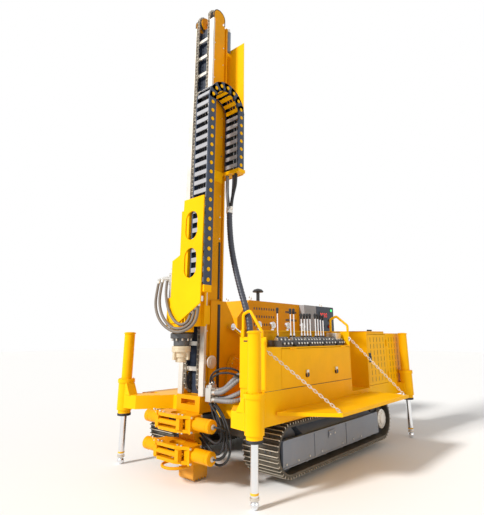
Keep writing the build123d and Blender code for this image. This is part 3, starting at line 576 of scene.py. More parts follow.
def drag_link(parts, y, z, turn, length, inner_bar="bars"):
    """One link about (Y, Z): a plate each side, an outer and an inner bar and a cap each side."""
    placed = (Matrix.Rotation(turn, 3, "X"), (0, y, z))
    for out, edge in ((-1, drag_x[0]), (1, drag_x[1])):
        parts["plates"].box((edge, edge - out * drag_band), span(y, drag_half), span(z, length / 2), *placed)
        lap = (z + length * 0.12, z + length * 0.5)
        face = edge + out * lap_thick
        parts["plates"].box((edge, face), span(y, drag_half - 0.004), lap, *placed)
        parts["caps"].rod((face - 0.004 * out, y, z), (face + 0.0035 * out, y, z), cap_radius, 20)
    inside = (drag_x[0] + drag_band - 0.002, drag_x[1] - drag_band + 0.002)
    for bar, edge, out in (("bars", y - drag_half, -1), (inner_bar, y + drag_half, 1)):
        parts[bar].box(inside, (edge + out * 0.001, edge - out * 0.011), span(z, bar_reach), *placed)


def drag_parts():
    """Meshes that a stretch of drag chain is made of."""
    return dict(zip(("plates", "bars", "caps"), shapes(3)))


drag_looks = {
    "plates": (chain_plastic, "chain_blue"),
    "bars": (bar_plastic, "chain_blue"),
    "caps": (yellow, "yellow_paint"),
}
hose_lanes = (0.250, 0.290, 0.335, 0.385)
lane_radius = 0.013


def drag_run(name, y, low, high, turn, body):
    """Straight stretch of drag chain, turned so that its outer bars face the front or the rear."""
    parts = drag_parts()
    count = round((high - low) / drag_pitch)
    length = (high - low) / count
    for link in range(count):
        drag_link(parts, y, low + (link + 0.5) * length, turn, length)
    hoses = Shape()
    for lane in hose_lanes:
        hoses.rod((lane, y, low), (lane, y, high), lane_radius, 12)
    made = [shape.done(f"{name}_{part}", *drag_looks[part], 0, body) for part, shape in parts.items()]
    return made + [hoses.done(f"{name}_hoses", black_rubber_and_slot_shade, "valve_black", 0, body)]


front_run = drag_run("drag_front", drag_front_y, *drag_front_z, 0, "head")
for piece in front_run:
    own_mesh(piece)
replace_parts(front_run[0], "drag_chain_front")
back_body = ("mast", "chain_loop", *((0, drag_back_y, z) for z in drag_back_z))
back_run = drag_run("drag_back", drag_back_y, *drag_back_z, pi, back_body)
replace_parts(back_run[0], "drag_chain_back")


def on_bend(reach, turn):
    """(Y, Z) on the drag chain's bend, from its front leg over the top."""
    return drag_centre[0] - reach * cos(turn), drag_centre[1] + reach * sin(turn)


loop_parts = drag_parts()
loop_links = 7
for link in range(loop_links):
    turn = pi * (link + 0.5) / loop_links
    drag_link(loop_parts, *on_bend(drag_radius, turn), -turn, pi * drag_radius / loop_links * 1.04, "caps")
for part, shape in loop_parts.items():
    shape.done(f"drag_loop_{part}", *drag_looks[part], 0, "chain_loop")
for lane in hose_lanes:
    bend = [(lane, *on_bend(drag_radius * (1.02 if 0 < step < 8 else 1), step * pi / 8)) for step in range(9)]
    name = f"drag_loop_hose_{round(lane * 1000)}"
    hose(name, smooth_line(bend), lane_radius, black_rubber_and_slot_shade, "chain_loop", sides=10, spacing=0.03)


# Feed chains: side plates and rollers on every pitch, and toothed wheels at both ends
def loop_place(distance, radius, low, high):
    """Offset (Y, Z) and turn on a loop of two straights and two half rounds, from low to high."""
    straight, arc = high - low, pi * radius
    distance %= 2 * (straight + arc)
    if distance < straight:
        return -radius, low + distance, 0.0
    distance -= straight
    if distance < arc:
        turn = distance / radius
        return -radius * cos(turn), high + radius * sin(turn), -turn
    distance -= arc
    if distance < straight:
        return radius, high - distance, pi
    turn = (distance - straight) / radius
    return radius * cos(turn), low - radius * sin(turn), pi - turn


mast_middle = 0.250
feed_x = 0.1015
feed_z = (0.932, 5.573)
feed_radius = 0.115
feed_pitch = 0.0508
feed_length = 2 * (feed_z[1] - feed_z[0] + pi * feed_radius)
feed_count = round(feed_length / feed_pitch / 2) * 2
teeth = 14
links, wheels = shapes(2)
for side in (1, -1):
    middle_x = side * feed_x
    for link in range(feed_count):
        y, z, turn = loop_place(link * feed_length / feed_count, feed_radius, *feed_z)
        spot = Vector((middle_x, mast_middle + y, z))
        matrix = Matrix.Rotation(turn, 3, "X")
        for hand in (1, -1):
            plate = span(middle_x + hand * (0.0145 if link % 2 else 0.0105), 0.002)
            links.box(plate, span(spot.y, 0.0105), span(spot.z, 0.031), matrix, spot)
        pin = spot + matrix @ Vector((0, 0, feed_pitch / 2))
        links.stud(pin, (0.0165, 0, 0), 0.0075, 8, sunk=1)
    for z, inner, outer in ((feed_z[0], 0.080, 0.123), (feed_z[1], 0.060, 0.165)):
        hub = Vector((middle_x, mast_middle, z))
        wheels.stud(hub, (0.006, 0, 0), 0.101, 40, sunk=1)
        wheels.stud(hub, (0.014, 0, 0), 0.055, 32, sunk=1)
        wheels.rod((side * inner, mast_middle, z), (side * outer, mast_middle, z), 0.022)
        for tooth in range(teeth):
            wheels.ball(hub + Vector((0, *on_circle(0.104, tooth, teeth))), 0.009)
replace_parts(links.done("feed_chain_links", chain_steel, "cast_steel", 0, "mast"), "feed_chains")
wheels.done("feed_chain_wheels", cast_steel, "cast_steel", 0, "mast")

# Console: valve bodies with boots, levers and grips
valve_groups = ((0.560, 0.760), (0.830, 1.050), (1.090, 1.370), (1.400, 1.670), (1.720, 1.890))
levers = (  # Y, height of the grip's top
    (0.676, 1.704), (0.920, 1.706), (0.985, 1.708), (1.137, 1.660), (1.200, 1.660), (1.262, 1.662),
    (1.324, 1.664), (1.440, 1.670), (1.500, 1.668), (1.560, 1.662), (1.620, 1.655),
)
tray_z = 1.290
body_top, port_z, spool_z = tray_z + 0.066, tray_z + 0.035, tray_z + 0.070
lever_x = 0.755
boot_profile = (
    (0, 0.026), (0.010, 0.026), (0.016, 0.018), (0.024, 0.021), (0.032, 0.014), (0.040, 0.017),
    (0.052, 0.009),
)
grip_profile = ((0, 0.009), (0.006, 0.014), (0.020, 0.013), (0.045, 0.017), (0.058, 0.015), (0.065, 0.006))
valve_bodies, valve_caps, boots, lever_rods, grips = shapes(5)
for low, high in valve_groups:
    slices = max(round((high - low) / 0.062), 2)
    width = (high - low) / slices
    for place in range(slices):
        y = low + place * width
        middle = y + width / 2
        valve_bodies.box((0.712, 0.893), (y + 0.002, y + width - 0.002), (tray_z, body_top))
        valve_bodies.rod((0.820, y + 0.012, spool_z), (0.820, y + width - 0.012, spool_z), 0.032)
        valve_bodies.stud((0.893, middle, port_z), (0.012, 0, 0), 0.017)
        valve_caps.stud((0.905, middle, port_z), (0.009, 0, 0), 0.011, 16)
        valve_caps.stud((0.870, middle, body_top), (0, 0, 0.012), 0.010)
    valve_caps.rod((0.820, low + 0.004, spool_z), (0.820, high - 0.004, spool_z), 0.026)
valve_caps.box((0.725, 0.860), (1.740, 1.870), (body_top, tray_z + 0.148))
for y, top in levers:
    boots.lathe((lever_x, y, tray_z + 0.064), (0, 0, 1), boot_profile, 20)
    lever_rods.rod((lever_x, y, tray_z + 0.080), (lever_x, y, top - 0.050), 0.0075, 16)
    lever_rods.stud((lever_x, y, tray_z + 0.116), (0, 0, 0.024), 0.011)
    grips.lathe((lever_x, y, top - 0.066), (0, 0, 1), grip_profile, 20)
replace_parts(valve_bodies.done("valve_bodies", cast_steel, "valve_black", 0.002), "valve_bank")
valve_caps.done("valve_caps", zinc, "valve_black", 0.002)
boots.done("lever_boots", black_rubber_and_slot_shade, "valve_black", 0)
lever_rods.done("lever_rods", chrome, "chrome", 0)
grips.done("lever_grips", black_rubber_and_slot_shade, "valve_black", 0)

# Gauges with marks and needles
gauge_z = 1.515
case_profile = ((0, 0.020), (0.003, 0.033), (0.028, 0.034), (0.033, 0.036), (0.034, 0.036))
gauge_cases, dials, dial_marks = shapes(3)
for y in (0.460, 0.702, 0.983, 1.291):
    gauge_cases.rod((0.666, y, 1.460), (0.666, y, 1.482), 0.009, 16)
    gauge_cases.stud((0.666, y, 1.462), (0, 0, 0.010), 0.015)
    gauge_cases.lathe((0.648, y, gauge_z), (1, 0, 0), case_profile)
    gauge_cases.ring((0.682, y, gauge_z), (1, 0, 0), 0.034, 0.0035, 8, 36)
    dials.rod((0.680, y, gauge_z), (0.6835, y, gauge_z), 0.0315, 32)
    for mark in range(9):
        turn = radians(-120 + 30 * mark)
        spot = Vector((0.6838, y + 0.026 * sin(turn), gauge_z + 0.026 * cos(turn)))
        size = 0.0030 if mark % 4 == 0 else 0.0018
        tilt = Matrix.Rotation(-turn, 3, "X")
        dial_marks.box(span(spot.x, 0.0006), span(spot.y, 0.0004), span(spot.z, size), tilt, spot)
    needle = Vector((0.6842, y, gauge_z))
    dial_marks.rod(needle - Vector((0, -0.003, 0.003)), needle + Vector((0, -0.014, 0.013)), 0.0006, 6)
    dial_marks.stud(needle, (0.0008, 0, 0), 0.0025, 12, sunk=1)
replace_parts(gauge_cases.done("gauge_cases", chrome, "valve_black", 0), "gauges")
dials.done("gauge_dials", white_dial, "valve_black", 0)
dial_marks.done("gauge_marks", black_paint_and_slot_shade, "valve_black", 0)

# Latches of the console's door, and black strips of painted shade in the slots of its front end
console_face = 0.950
latch_pads, latch_knobs, panel_slot_shade = shapes(3)
for y in (0.927, 1.544):
    latch_pads.box((console_face, 0.9675), span(y, 0.0215), (0.999, 1.0515))
    knob_profile = ((0, 0.026), (0.016, 0.026), (0.022, 0.022), (0.024, 0.012))
    latch_knobs.lathe((console_face, y, 1.003), (1, 0, 0), knob_profile, 28)
latch_pads.done("latch_pads", zinc, "valve_black", body="console_door")
latch_knobs.done("latch_knobs", black_paint_and_slot_shade, "valve_black", 0, "console_door")
# Thin black strips paint the shade inside the console's front slots
for x in ((0.700, 0.790), (0.830, 0.920)):
    panel_slot_shade.box(x, (0.1865, 0.1885), (1.345, 1.358))
panel_slot_shade.done("panel_slot_shade", black_rubber_and_slot_shade, "valve_black", 0.0005)

# Electric panel: bezel with a lit display, knobs, door seam, stop button and lamp
panel_face = -0.210
seam = (panel_face, panel_face + 0.001)
bezels, digits, stop_button, panel_lamp = shapes(4)
bezels.box((panel_face, panel_face + 0.006), (3.115, 3.375), (1.690, 1.800))
knob_profile = ((0, 0.021), (0.003, 0.021), (0.004, 0.017), (0.012, 0.017), (0.013, 0.014))
for y, z in ((3.060, 1.560), (3.060, 1.640), (3.250, 1.560), (3.420, 1.660)):
    bezels.lathe((panel_face, y, z), (1, 0, 0), knob_profile, 24)
for z in (1.480, 1.875):
    bezels.box(seam, (3.032, 3.571), span(z, 0.002))
for y in (3.032, 3.571):
    bezels.box(seam, span(y, 0.002), (1.478, 1.877))
bezels.done("panel_bezels", black_paint_and_slot_shade, "panel_blue", 0.0008)
segments = (  # of one digit: Y and Z of the middle, half its reach in Y and Z
    (0.0, 0.030, 0.011, 0.0026),
    (0.0, 0.0, 0.011, 0.0026),
    (0.0, -0.030, 0.011, 0.0026),
    (-0.015, 0.015, 0.0026, 0.011),
    (0.015, 0.015, 0.0026, 0.011),
    (-0.015, -0.015, 0.0026, 0.011),
    (0.015, -0.015, 0.0026, 0.011),
)
lit = ((0, 1, 2, 3, 4, 5, 6), (0, 2, 3, 4, 5, 6), (0, 1, 2, 4, 6), (0, 2, 3, 4, 5, 6))
for place, parts in enumerate(lit):
    for y, z, wide, tall in (segments[part] for part in parts):
        y += 3.160 + place * 0.057
        digits.box((panel_face + 0.006, panel_face + 0.0068), span(y, wide), span(1.745 + z, tall))
digits.done("panel_digits", display_red, "panel_blue", 0)
stop_profile = ((0, 0.026), (0.010, 0.026), (0.011, 0.032), (0.020, 0.030), (0.024, 0.020))
stop_button.lathe((panel_face, 3.420, 1.560), (1, 0, 0), stop_profile)
stop_button.done("stop_button", knob_red, "panel_blue", 0)
lamp_profile = ((0, 0.022), (0.010, 0.021), (0.018, 0.014), (0.021, 0.005))
panel_lamp.lathe((panel_face, 3.500, 1.830), (1, 0, 0), lamp_profile, 24)
panel_lamp.done("panel_lamp", lamp_green, "panel_blue", 0)

# Jacks: seals and bolts at the guide tubes, caps on top, marking rings and collars on the rods
jacks = (
    ("jack_front_right", 1.000, 0.0),
    ("jack_front_left", -1.000, 0.0),
    ("jack_rear_right", 1.050, 3.420),
    ("jack_rear_left", -1.050, 3.420),
)
seal_profile = ((0, 0.062), (0.004, 0.077), (0.026, 0.077), (0.030, 0.074))
cap_profile = ((0, 0.062), (0.004, 0.060), (0.0075, 0.045), (0.009, 0.015))
mark_profile = ((0, 0.0355), (0.001, 0.0365), (0.017, 0.0365), (0.018, 0.0355))
collar_profile = ((0, 0.036), (0.003, 0.041), (0.024, 0.041), (0.028, 0.036))
seals, collar_bolts, caps = shapes(3)
for body, x, y in jacks:
    seals.lathe((x, y, 0.506), (0, 0, 1), seal_profile)
    for bolt in range(8):
        across, along = on_circle(0.080, bolt, 8, pi / 8)
        collar_bolts.stud((x + across, y + along, 0.910), (0, 0, 0.008), 0.007)
    caps.lathe((x, y, 1.440), (0, 0, 1), cap_profile)
    mark, collar = shapes(2)
    mark.lathe((x, y, 0.112), (0, 0, 1), mark_profile)
    mark.done(f"{body}_mark", yellow, "yellow_paint", 0, body)
    collar.lathe((x, y, 0.070), (0, 0, 1), collar_profile)
    collar.done(f"{body}_collar", bright_steel, "chrome", 0, body)
seals.done("jack_seals", black_rubber_and_slot_shade, "valve_black", 0)
collar_bolts.done("jack_collar_bolts", yellow, "yellow_paint", 0.0008)
caps.done("jack_caps", yellow, "yellow_paint", 0)


# Platform: link chains between eyes on the console and on the tray, and the tray's seams
def link_chain(name, upper, lower):
    """Chain of welded links from the console to the platform."""
    along = Vector(lower) - Vector(upper)
    count = round(along.length / 0.034)
    base = along.to_track_quat("Z", "Y").to_matrix()
    shape = Shape()
    for link in range(count):
        middle = Vector(upper) + along * ((link + 0.5) / count)
        turn = base @ Matrix.Rotation(pi / 2 * (link % 2), 3, "Z")
        rings = []
        for place in range(16):
            right, up = on_circle(1, place, 16)
            spot = Vector((0.0105 * right, 0, 0.0105 * up + (0.012 if up > 0 else -0.012)))
            out = Vector((right, 0, up))
            bends = [on_circle(0.0036, side, 6) for side in range(6)]
            rings.append([middle + turn @ (spot + out * wide + Vector((0, rise, 0))) for wide, rise in bends])
        shape.skin(rings, closed=True)
    obj = shape.done(name, pale_steel, "rail_steel", 0)
    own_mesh(obj)
    return obj


chain_front = link_chain("platform_chain_front", (0.966, 0.210, 1.270), (1.435, 0.725, 0.716))
link_chain("platform_chain_rear", (0.966, 1.914, 1.365), (1.435, 2.305, 0.716))
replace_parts(chain_front, "platform_chains")
upper_eyes, lower_eyes, seams = shapes(3)
for y, z in ((0.210, 1.270), (1.914, 1.365)):
    upper_eyes.box((console_face, 0.954), span(y, 0.018), span(z, 0.026))
    upper_eyes.ring((0.962, y, z), (0, 1, 0), 0.011, 0.004, 8, 20)
for y in (0.725, 2.305):
    lower_eyes.box((1.415, 1.455), span(y, 0.018), (0.707, 0.711))
    lower_eyes.ring((1.435, y, 0.717), (1, 0, 0), 0.011, 0.004, 8, 20)
upper_eyes.done("chain_eyes_console", zinc, "rail_steel", 0.0008)
lower_eyes.done("chain_eyes_platform", zinc, "rail_steel", 0.0008, "platform")
seams.box((0.978, 1.472), (0.699, 0.703), (0.7068, 0.7082))
for y in (1.250, 1.800):
    seams.box((0.978, 1.472), span(y, 0.0015), (0.7066, 0.7078))
seams.done("platform_seams", yellow, "yellow_paint", 0.0004, "platform")

# Tracks: three grousers to a shoe with worn edges, shoe bolts, hubs, frame lips and bolts
track_length, track_height = 2.585, 0.500
track_loop = track_height / 2 - 0.022
track_straight = track_length - track_height
track_y, track_z = 0.350 + track_length / 2, 0.085 + track_height / 2
shoe_count = 42
shoe_pitch = 2 * (track_straight + pi * track_loop) / shoe_count
track_x = (0.540, 0.970)


def track_place(distance):
    """Place (Y, Z) on the shoes' outer face, and the way out from it as a turn about X from upright."""
    arc = pi * track_loop
    distance %= 2 * (track_straight + arc)
    if distance < track_straight:
        return track_y + distance - track_straight / 2, track_z + track_loop, 0.0
    distance -= track_straight
    if distance < arc:
        turn = distance / track_loop
        y = track_y + track_straight / 2 + track_loop * sin(turn)
        return y, track_z + track_loop * cos(turn), -turn
    distance -= arc
    if distance < track_straight:
        return track_y + track_straight / 2 - distance, track_z - track_loop, -pi
    turn = (distance - track_straight) / track_loop
    y = track_y - track_straight / 2 - track_loop * sin(turn)
    return y, track_z - track_loop * cos(turn), -pi - turn


grousers = (  # share of the pitch, height, thickness, whether the solid has it already
    (0.20, 0.0205, 0.0085, False),
    (0.52, 0.0222, 0.0095, True),
    (0.84, 0.0205, 0.0085, False),
)
for side, hand in ((1, "right"), (-1, "left")):
    x = track_x if side > 0 else (-track_x[1], -track_x[0])
    bars, edges, bolts = shapes(3)
    for shoe in range(shoe_count):
        for share, height, thick, solid in grousers:
            y, z, turn = track_place((shoe + share) * shoe_pitch)
            placed = (Matrix.Rotation(turn, 3, "X"), Vector((0, y, z)))
            if not solid:
                bars.box(x, span(y, thick / 2), (z - 0.004, z + height - 0.0016), *placed)
            worn = (z + height - 0.0018, z + height)
            edges.box((x[0] + 0.001, x[1] - 0.001), span(y, thick / 2 - 0.0008), worn, *placed)
            for end in x:
                out = 0.0012 if end > 0 else -0.0012
                edges.box((end, end + out), span(y, thick / 2), (z, z + height - 0.001), *placed)
        y, z, turn = track_place((shoe + 0.36) * shoe_pitch)
        matrix = Matrix.Rotation(turn, 3, "X")
        for across in (0.09, 0.15, 0.28, 0.34):
            foot = Vector((0, y, z)) + matrix @ Vector((x[0] + across, 0, -0.001))
            bolts.stud(foot, matrix @ Vector((0, 0, 0.008)), 0.010)
    bars.done(f"track_{hand}_grousers", track_steel, "track_steel", 0)
    edges.done(f"track_{hand}_edges", worn_steel, "track_steel", 0)
    bolts.done(f"track_{hand}_bolts", cast_steel, "track_steel", 0)

frame_face = 0.955
hubs, hub_bolts, lips = shapes(3)
for side in (1, -1):
    for y, z, radius, count, face in ((2.685, 0.335, 0.118, 12, 0.958), (0.600, 0.335, 0.070, 6, 0.926)):
        hub_profile = (
            (0, radius), (0.046, radius), (0.050, radius - 0.005),
            (0.051, radius * 0.62), (0.062, radius * 0.58), (0.064, radius * 0.5),
        )
        hubs.lathe((side * (face - 0.05), y, z), (side, 0, 0), hub_profile, 40)
        for bolt in range(count):
            along, rise = on_circle(radius * 0.8, bolt, count)
            hub_bolts.stud((side * face, y + along, z + rise), (side * 0.008, 0, 0), 0.009, sunk=0.25)
    for outer, y, z in (
        (0.962, (0.480, 2.175), (0.420, 0.435)),
        (0.962, (0.480, 2.175), (0.190, 0.202)),
        (0.962, (1.020, 1.060), (0.202, 0.420)),
        (0.962, (1.700, 1.740), (0.202, 0.420)),
        (0.966, (1.300, 1.440), (0.330, 0.400)),
    ):
        lips.box((side * frame_face, side * outer), y, z)
    for face, z, places in (
        (frame_face, 0.225, (0.520, 0.720, 0.920, 1.160, 1.600, 1.860, 2.060)),
        (0.966, 0.365, (1.320, 1.420)),
    ):
        for y in places:
            hub_bolts.stud((side * face, y, z), (side * 0.008, 0, 0), 0.010)
hubs.done("track_hubs", pale_steel, "cast_steel", 0)
hub_bolts.done("track_frame_bolts", zinc, "cast_steel", 0)
lips.done("track_frame_lips", frame_paint, "grey_blue_paint")

# Clamps: jaws, flange bolts, domed and ported cylinder ends, link pins
drill_y = -0.020
jaw_outline = (
    (0.030, -0.062), (0.052, -0.040), (0.052, 0.000), (0.030, 0.022), (0.098, 0.022), (0.098, -0.062),
)
dome_profile = ((0, 0.0615), (0.006, 0.058), (0.013, 0.045), (0.018, 0.022))
seat_profile = ((0, 0.0612), (0.005, 0.056), (0.006, 0.046), (0.010, 0.046), (0.012, 0.030))
jaws, clamp_bolts, domes, clamp_ports = shapes(4)
for z in (0.300, 0.572):
    for side in (1, -1):
        jaws.upright([(side * x, y) for x, y in jaw_outline], z - 0.034, z + 0.034)
        for y in (-0.085, 0.045):
            for rise in (-0.068, 0.062):
                clamp_bolts.stud((side * 0.274, y, z + rise), (side * 0.012, 0, 0), 0.012, sunk=1 / 6)
        for x in (0.175, 0.120):
            for hand in (1, -1):
                clamp_bolts.stud((side * x, -0.115, z + hand * 0.078), (0, 0, hand * 0.010), 0.013)
    domes.lathe((-0.494, drill_y, z), (-1, 0, 0), dome_profile, 36)
    domes.ring((-0.440, drill_y, z), (1, 0, 0), 0.0615, 0.003, 8, 40)
    domes.ring((0.452, drill_y, z), (1, 0, 0), 0.0615, 0.003, 8, 40)
    domes.lathe((0.494, drill_y, z), (1, 0, 0), seat_profile, 36)
    clamp_ports.stud((0.504, drill_y, z), (0.005, 0, 0), 0.024, 24)
    clamp_ports.stud((0.506, drill_y, z), (0.016, 0, 0), 0.018)
    clamp_ports.stud((-0.400, drill_y, z + 0.060), (0, 0, 0.016), 0.014)
jaws.done("clamp_jaws", cast_steel, "cast_steel", 0.002, "mast")
clamp_bolts.done("clamp_bolts", zinc, "cast_steel", 0.001, "mast")
# Clamp domes in the darker yellow of painted shade
domes.done("clamp_domes", shade_darkened_yellow, "yellow_paint", 0, "mast")
clamp_ports.done("clamp_ports", zinc, "valve_black", 0.001, "mast")

# Mast: dark blue sheets in its recess as painted shade, bolts along its sides, dark rims at the cheeks of its
# top
mast_side = 0.180
recess_back = (0.2138, 0.2149)
recess_shade_sheets, mast_bolts, rims = shapes(3)
recess_shade_sheets.box((-0.079, 0.079), recess_back, (0.805, 5.478))
cheek_top, cheek_radius, rim_steps = 5.573, 0.101, 24
for side in (1, -1):
    recess_shade_sheets.box((side * 0.079, side * 0.1218), recess_back, (1.062, 5.443))
    recess_shade_sheets.box((side * 0.1207, side * 0.1219), (0.151, 0.2149), (1.062, 5.443))
    for place in range(17):
        for y in (0.172, 0.330):
            mast_bolts.stud((side * mast_side, y, 0.930 + place * 0.262), (side * 0.007, 0, 0), 0.009)
    for x in (side * 0.1795, side * 0.0765):
        turns = [pi * step / rim_steps for step in range(rim_steps + 1)]
        round_top = [
            (x, mast_middle - cheek_radius * cos(turn), cheek_top + cheek_radius * sin(turn))
            for turn in turns
        ]
        for low, high in zip(round_top, round_top[1:]):
            rims.rod(low, high, 0.0055, 8)
        for y in span(mast_middle, cheek_radius):
            rims.rod((x, y, 5.480), (x, y, cheek_top), 0.0055, 8)
recess_shade_sheets.done("mast_recess_shade", recess_shade_blue, "chain_blue", 0, "mast")
mast_bolts.done("mast_bolts", zinc, "rail_steel", 0, "mast")
rims.done("cheek_rims", black_rubber_and_slot_shade, "valve_black", 0, "mast")

# Manifold on the tilt frame, with the wrapped hoses from the console and the thin hoses to the clamps
manifold_face = 0.300
manifold, console_elbows = shapes(2)
manifold.box((0.2103, 0.2223), (0.158, 0.298), (0.750, 0.905))
manifold.box((0.2223, manifold_face), (0.135, 0.240), (0.752, 0.885))
manifold.box((0.240, 0.296), (0.150, 0.225), (0.885, 0.915))
for z in (0.870, 0.768):
    manifold.stud((manifold_face, 0.188, z), (0.009, 0, 0), 0.010)
for y in (0.165, 0.205):
    manifold.stud((0.262, y, 0.915), (0, 0, 0.017), 0.014)
manifold.done("foot_manifold", zinc, "valve_black", 0.002, "tilt_frame")
wrapped_routes = (
    (
        (622, 520, 1130), (620, 430, 1122), (606, 330, 1080), (560, 240, 1008), (485, 214, 930),
        (415, 214, 875), (345, 214, 862),
    ),
    (
        (622, 470, 1072), (618, 390, 1060), (604, 305, 1015), (560, 225, 950), (490, 175, 885),
        (420, 160, 848), (345, 160, 845),
    ),
    (
        (622, 420, 900), (618, 350, 888), (600, 280, 862), (552, 230, 832), (485, 214, 806),
        (415, 214, 792), (345, 214, 790),
    ),
    (
        (622, 375, 828), (617, 310, 806), (595, 240, 785), (545, 185, 778), (480, 162, 776),
        (410, 160, 775), (345, 160, 775),
    ),
)
wrap_look = {"stiffness": "stiff", "sides": 20, "spacing": 0.005, "ridge": 0.14, "pitch": 0.026}
for number, route in enumerate(wrapped_routes, 1):
    port = Shape()
    end = port.sleeve(route[-1], route[-2], 0.022, 0.034)
    port.rod(end, (manifold_face - 0.002, end.y, end.z), 0.014, 16)
    piece = port.done(f"manifold_port_{number}", zinc, "valve_black", 0.0008, "tilt_frame")
    free_hose(f"console_hose_{number}", route, 0.023, wrap_grey, frame_bodies, [piece], **wrap_look)
    end = console_elbows.sleeve(route[0], route[1], 0.021, 0.034)
    corner = end + Vector((0, 0.016, 0))
    console_elbows.pipe((end, corner, (0.651, corner.y, end.z)), 0.014)
console_elbows.done("console_elbows", zinc, "valve_black", 0.0008)

arc_routes = (
    (
        (628, 330, 985), (612, 270, 1040), (560, 190, 1085), (470, 130, 1090), (370, 110, 1050),
        (292, 130, 985), (264, 165, 936),
    ),
    (
        (628, 300, 955), (610, 240, 1005), (555, 165, 1045), (465, 110, 1045), (375, 100, 1010),
        (300, 150, 968), (266, 205, 936),
    ),
)
for number, route in enumerate(arc_routes, 1):
    piece = tip_piece(f"arc_fitting_{number}", route, 0.010, 0.020, "tilt_frame")
    free_hose(f"arc_hose_{number}", route, 0.010, black_rubber_and_slot_shade, frame_bodies, [piece])
clamp_routes = (
    (
        (518, -20, 572), (560, -20, 575), (590, 12, 565), (575, 75, 535), (490, 130, 520), (375, 160, 560),
        (292, 172, 640), (266, 175, 738),
    ),
    (
        (518, -20, 300), (560, -20, 300), (592, 20, 310), (592, 88, 350), (525, 142, 430), (415, 168, 520),
        (322, 200, 620), (290, 205, 738),
    ),
)
for number, route in enumerate(clamp_routes, 1):
    piece = tip_piece(f"clamp_fitting_{number}", route, 0.009, 0.022, "tilt_frame")
    free_hose(f"clamp_hose_{number}", route, 0.009, black_rubber_and_slot_shade, mast_bodies, [piece])

# Hood and cabinet: latches on the doors, lifting eyes, the lid's handle and seams
door_latches = (  # body, X of the face, Y, Z, direction out
    ("hood_door_front", -0.950, 2.270, 1.250, -1),
    ("hood_door_rear", -0.950, 3.180, 1.250, -1),
    ("cabinet_door", 0.950, 2.475, 1.120, 1),
)
for body, x, y, z, out in door_latches:
    latch = Shape()
    base = x + out * 0.006
    latch.box((x, base), span(y, 0.032), span(z, 0.060))
    latch.box((base, x + out * 0.020), span(y, 0.014), (z - 0.045, z + 0.020))
    latch.lathe((base, y, z + 0.040), (out, 0, 0), ((0, 0.012), (0.006, 0.012), (0.008, 0.008)), 20)
    latch.done(f"{body}_latch", black_paint_and_slot_shade, "valve_black", body=body)
eyes, lid_handle, console_seams = shapes(3)
for x in (-0.860, -0.400):
    for y in (1.560, 3.480):
        eyes.lathe((x, y, 1.890), (0, 0, 1), ((0, 0.030), (0.006, 0.030), (0.008, 0.014), (0.020, 0.014)), 24)
        eyes.ring((x, y, 1.930), (0, 1, 0), 0.022, 0.008, 10, 28)
eyes.done("lifting_eyes", zinc, "rail_steel", 0)
for y in (2.610, 2.710):
    lid_handle.rod((0.880, y, 1.465), (0.880, y, 1.476), 0.008, 16)
lid_handle.rod((0.880, 2.595, 1.478), (0.880, 2.725, 1.478), 0.010, 20)
lid_handle.done("lid_handle", black_rubber_and_slot_shade, "valve_black", 0.001)
console_seams.box((0.513, 0.932), (2.458, 2.4605), (1.4652, 1.4668))
console_seams.box((0.9495, 0.9508), (0.212, 1.912), span(0.892, 0.0015))
console_seams.done("console_seams", black_paint_and_slot_shade, "yellow_paint", 0)

# Spindle: dark flange with hanging bolts, and a pale chuck with three jaws below it
flange_profile = (
    (0, 0.078), (0.006, 0.084), (0.070, 0.084), (0.075, 0.112), (0.080, 0.119), (0.122, 0.120),
    (0.130, 0.112), (0.135, 0.105),
)
chuck_profile = (
    (0, 0.040), (0.001, 0.053), (0.006, 0.058), (0.043, 0.058), (0.046, 0.066), (0.051, 0.073),
    (0.094, 0.074), (0.100, 0.090), (0.106, 0.099), (0.126, 0.100), (0.128, 0.096), (0.134, 0.096),
    (0.136, 0.100), (0.158, 0.099), (0.165, 0.088),
)
flange, chuck, flange_bolts = shapes(3)
flange.lathe((0, drill_y, 1.300), (0, 0, 1), flange_profile, 48)
flange.rod((0, drill_y, 1.430), (0, drill_y, 1.640), 0.0495, 32)
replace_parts(flange.done("spindle_flange", cast_steel, "cast_steel", 0, "spindle"), "spindle")
chuck.lathe((0, drill_y, 1.135), (0, 0, 1), chuck_profile, 48)
for jaw in range(3):
    x, y = on_circle(0.078, jaw, 3, 0.4)
    placed = (Matrix.Rotation(2 * pi * jaw / 3 + 0.4, 3, "Z"), Vector((x, drill_y + y, 1.205)))
    chuck.box(span(x, 0.016), span(drill_y + y, 0.019), (1.160, 1.236), *placed)
chuck.done("spindle_chuck", chuck_paint, "cast_steel", 0.0015, "spindle")
for bolt in range(10):
    x, y = on_circle(0.101, bolt, 10)
    flange_bolts.stud((x, drill_y + y, 1.352), (0, 0, 0.024), 0.010)
flange_bolts.done("spindle_bolts", bright_steel, "cast_steel", 0.0008, "spindle")

# Hoop under the lower clamp
hoop = Shape()
hoop_line = []
for step in range(49):
    turn = radians(150 + 240 * step / 48)
    hoop_line.append(Vector((0.140 * cos(turn), drill_y + 0.140 * sin(turn), 0.172)))
hoop.tube(hoop_line, 0.014, 16, 0.012)
for end in (hoop_line[0], hoop_line[-1]):
    hoop.ball(end, 0.0142)
    hoop.rod(end, (end.x, end.y, 0.242), 0.014, 16)
# Hoop in the darker yellow of painted shade
hoop.done("clamp_hoop", shade_darkened_yellow, "yellow_paint", 0, "mast")

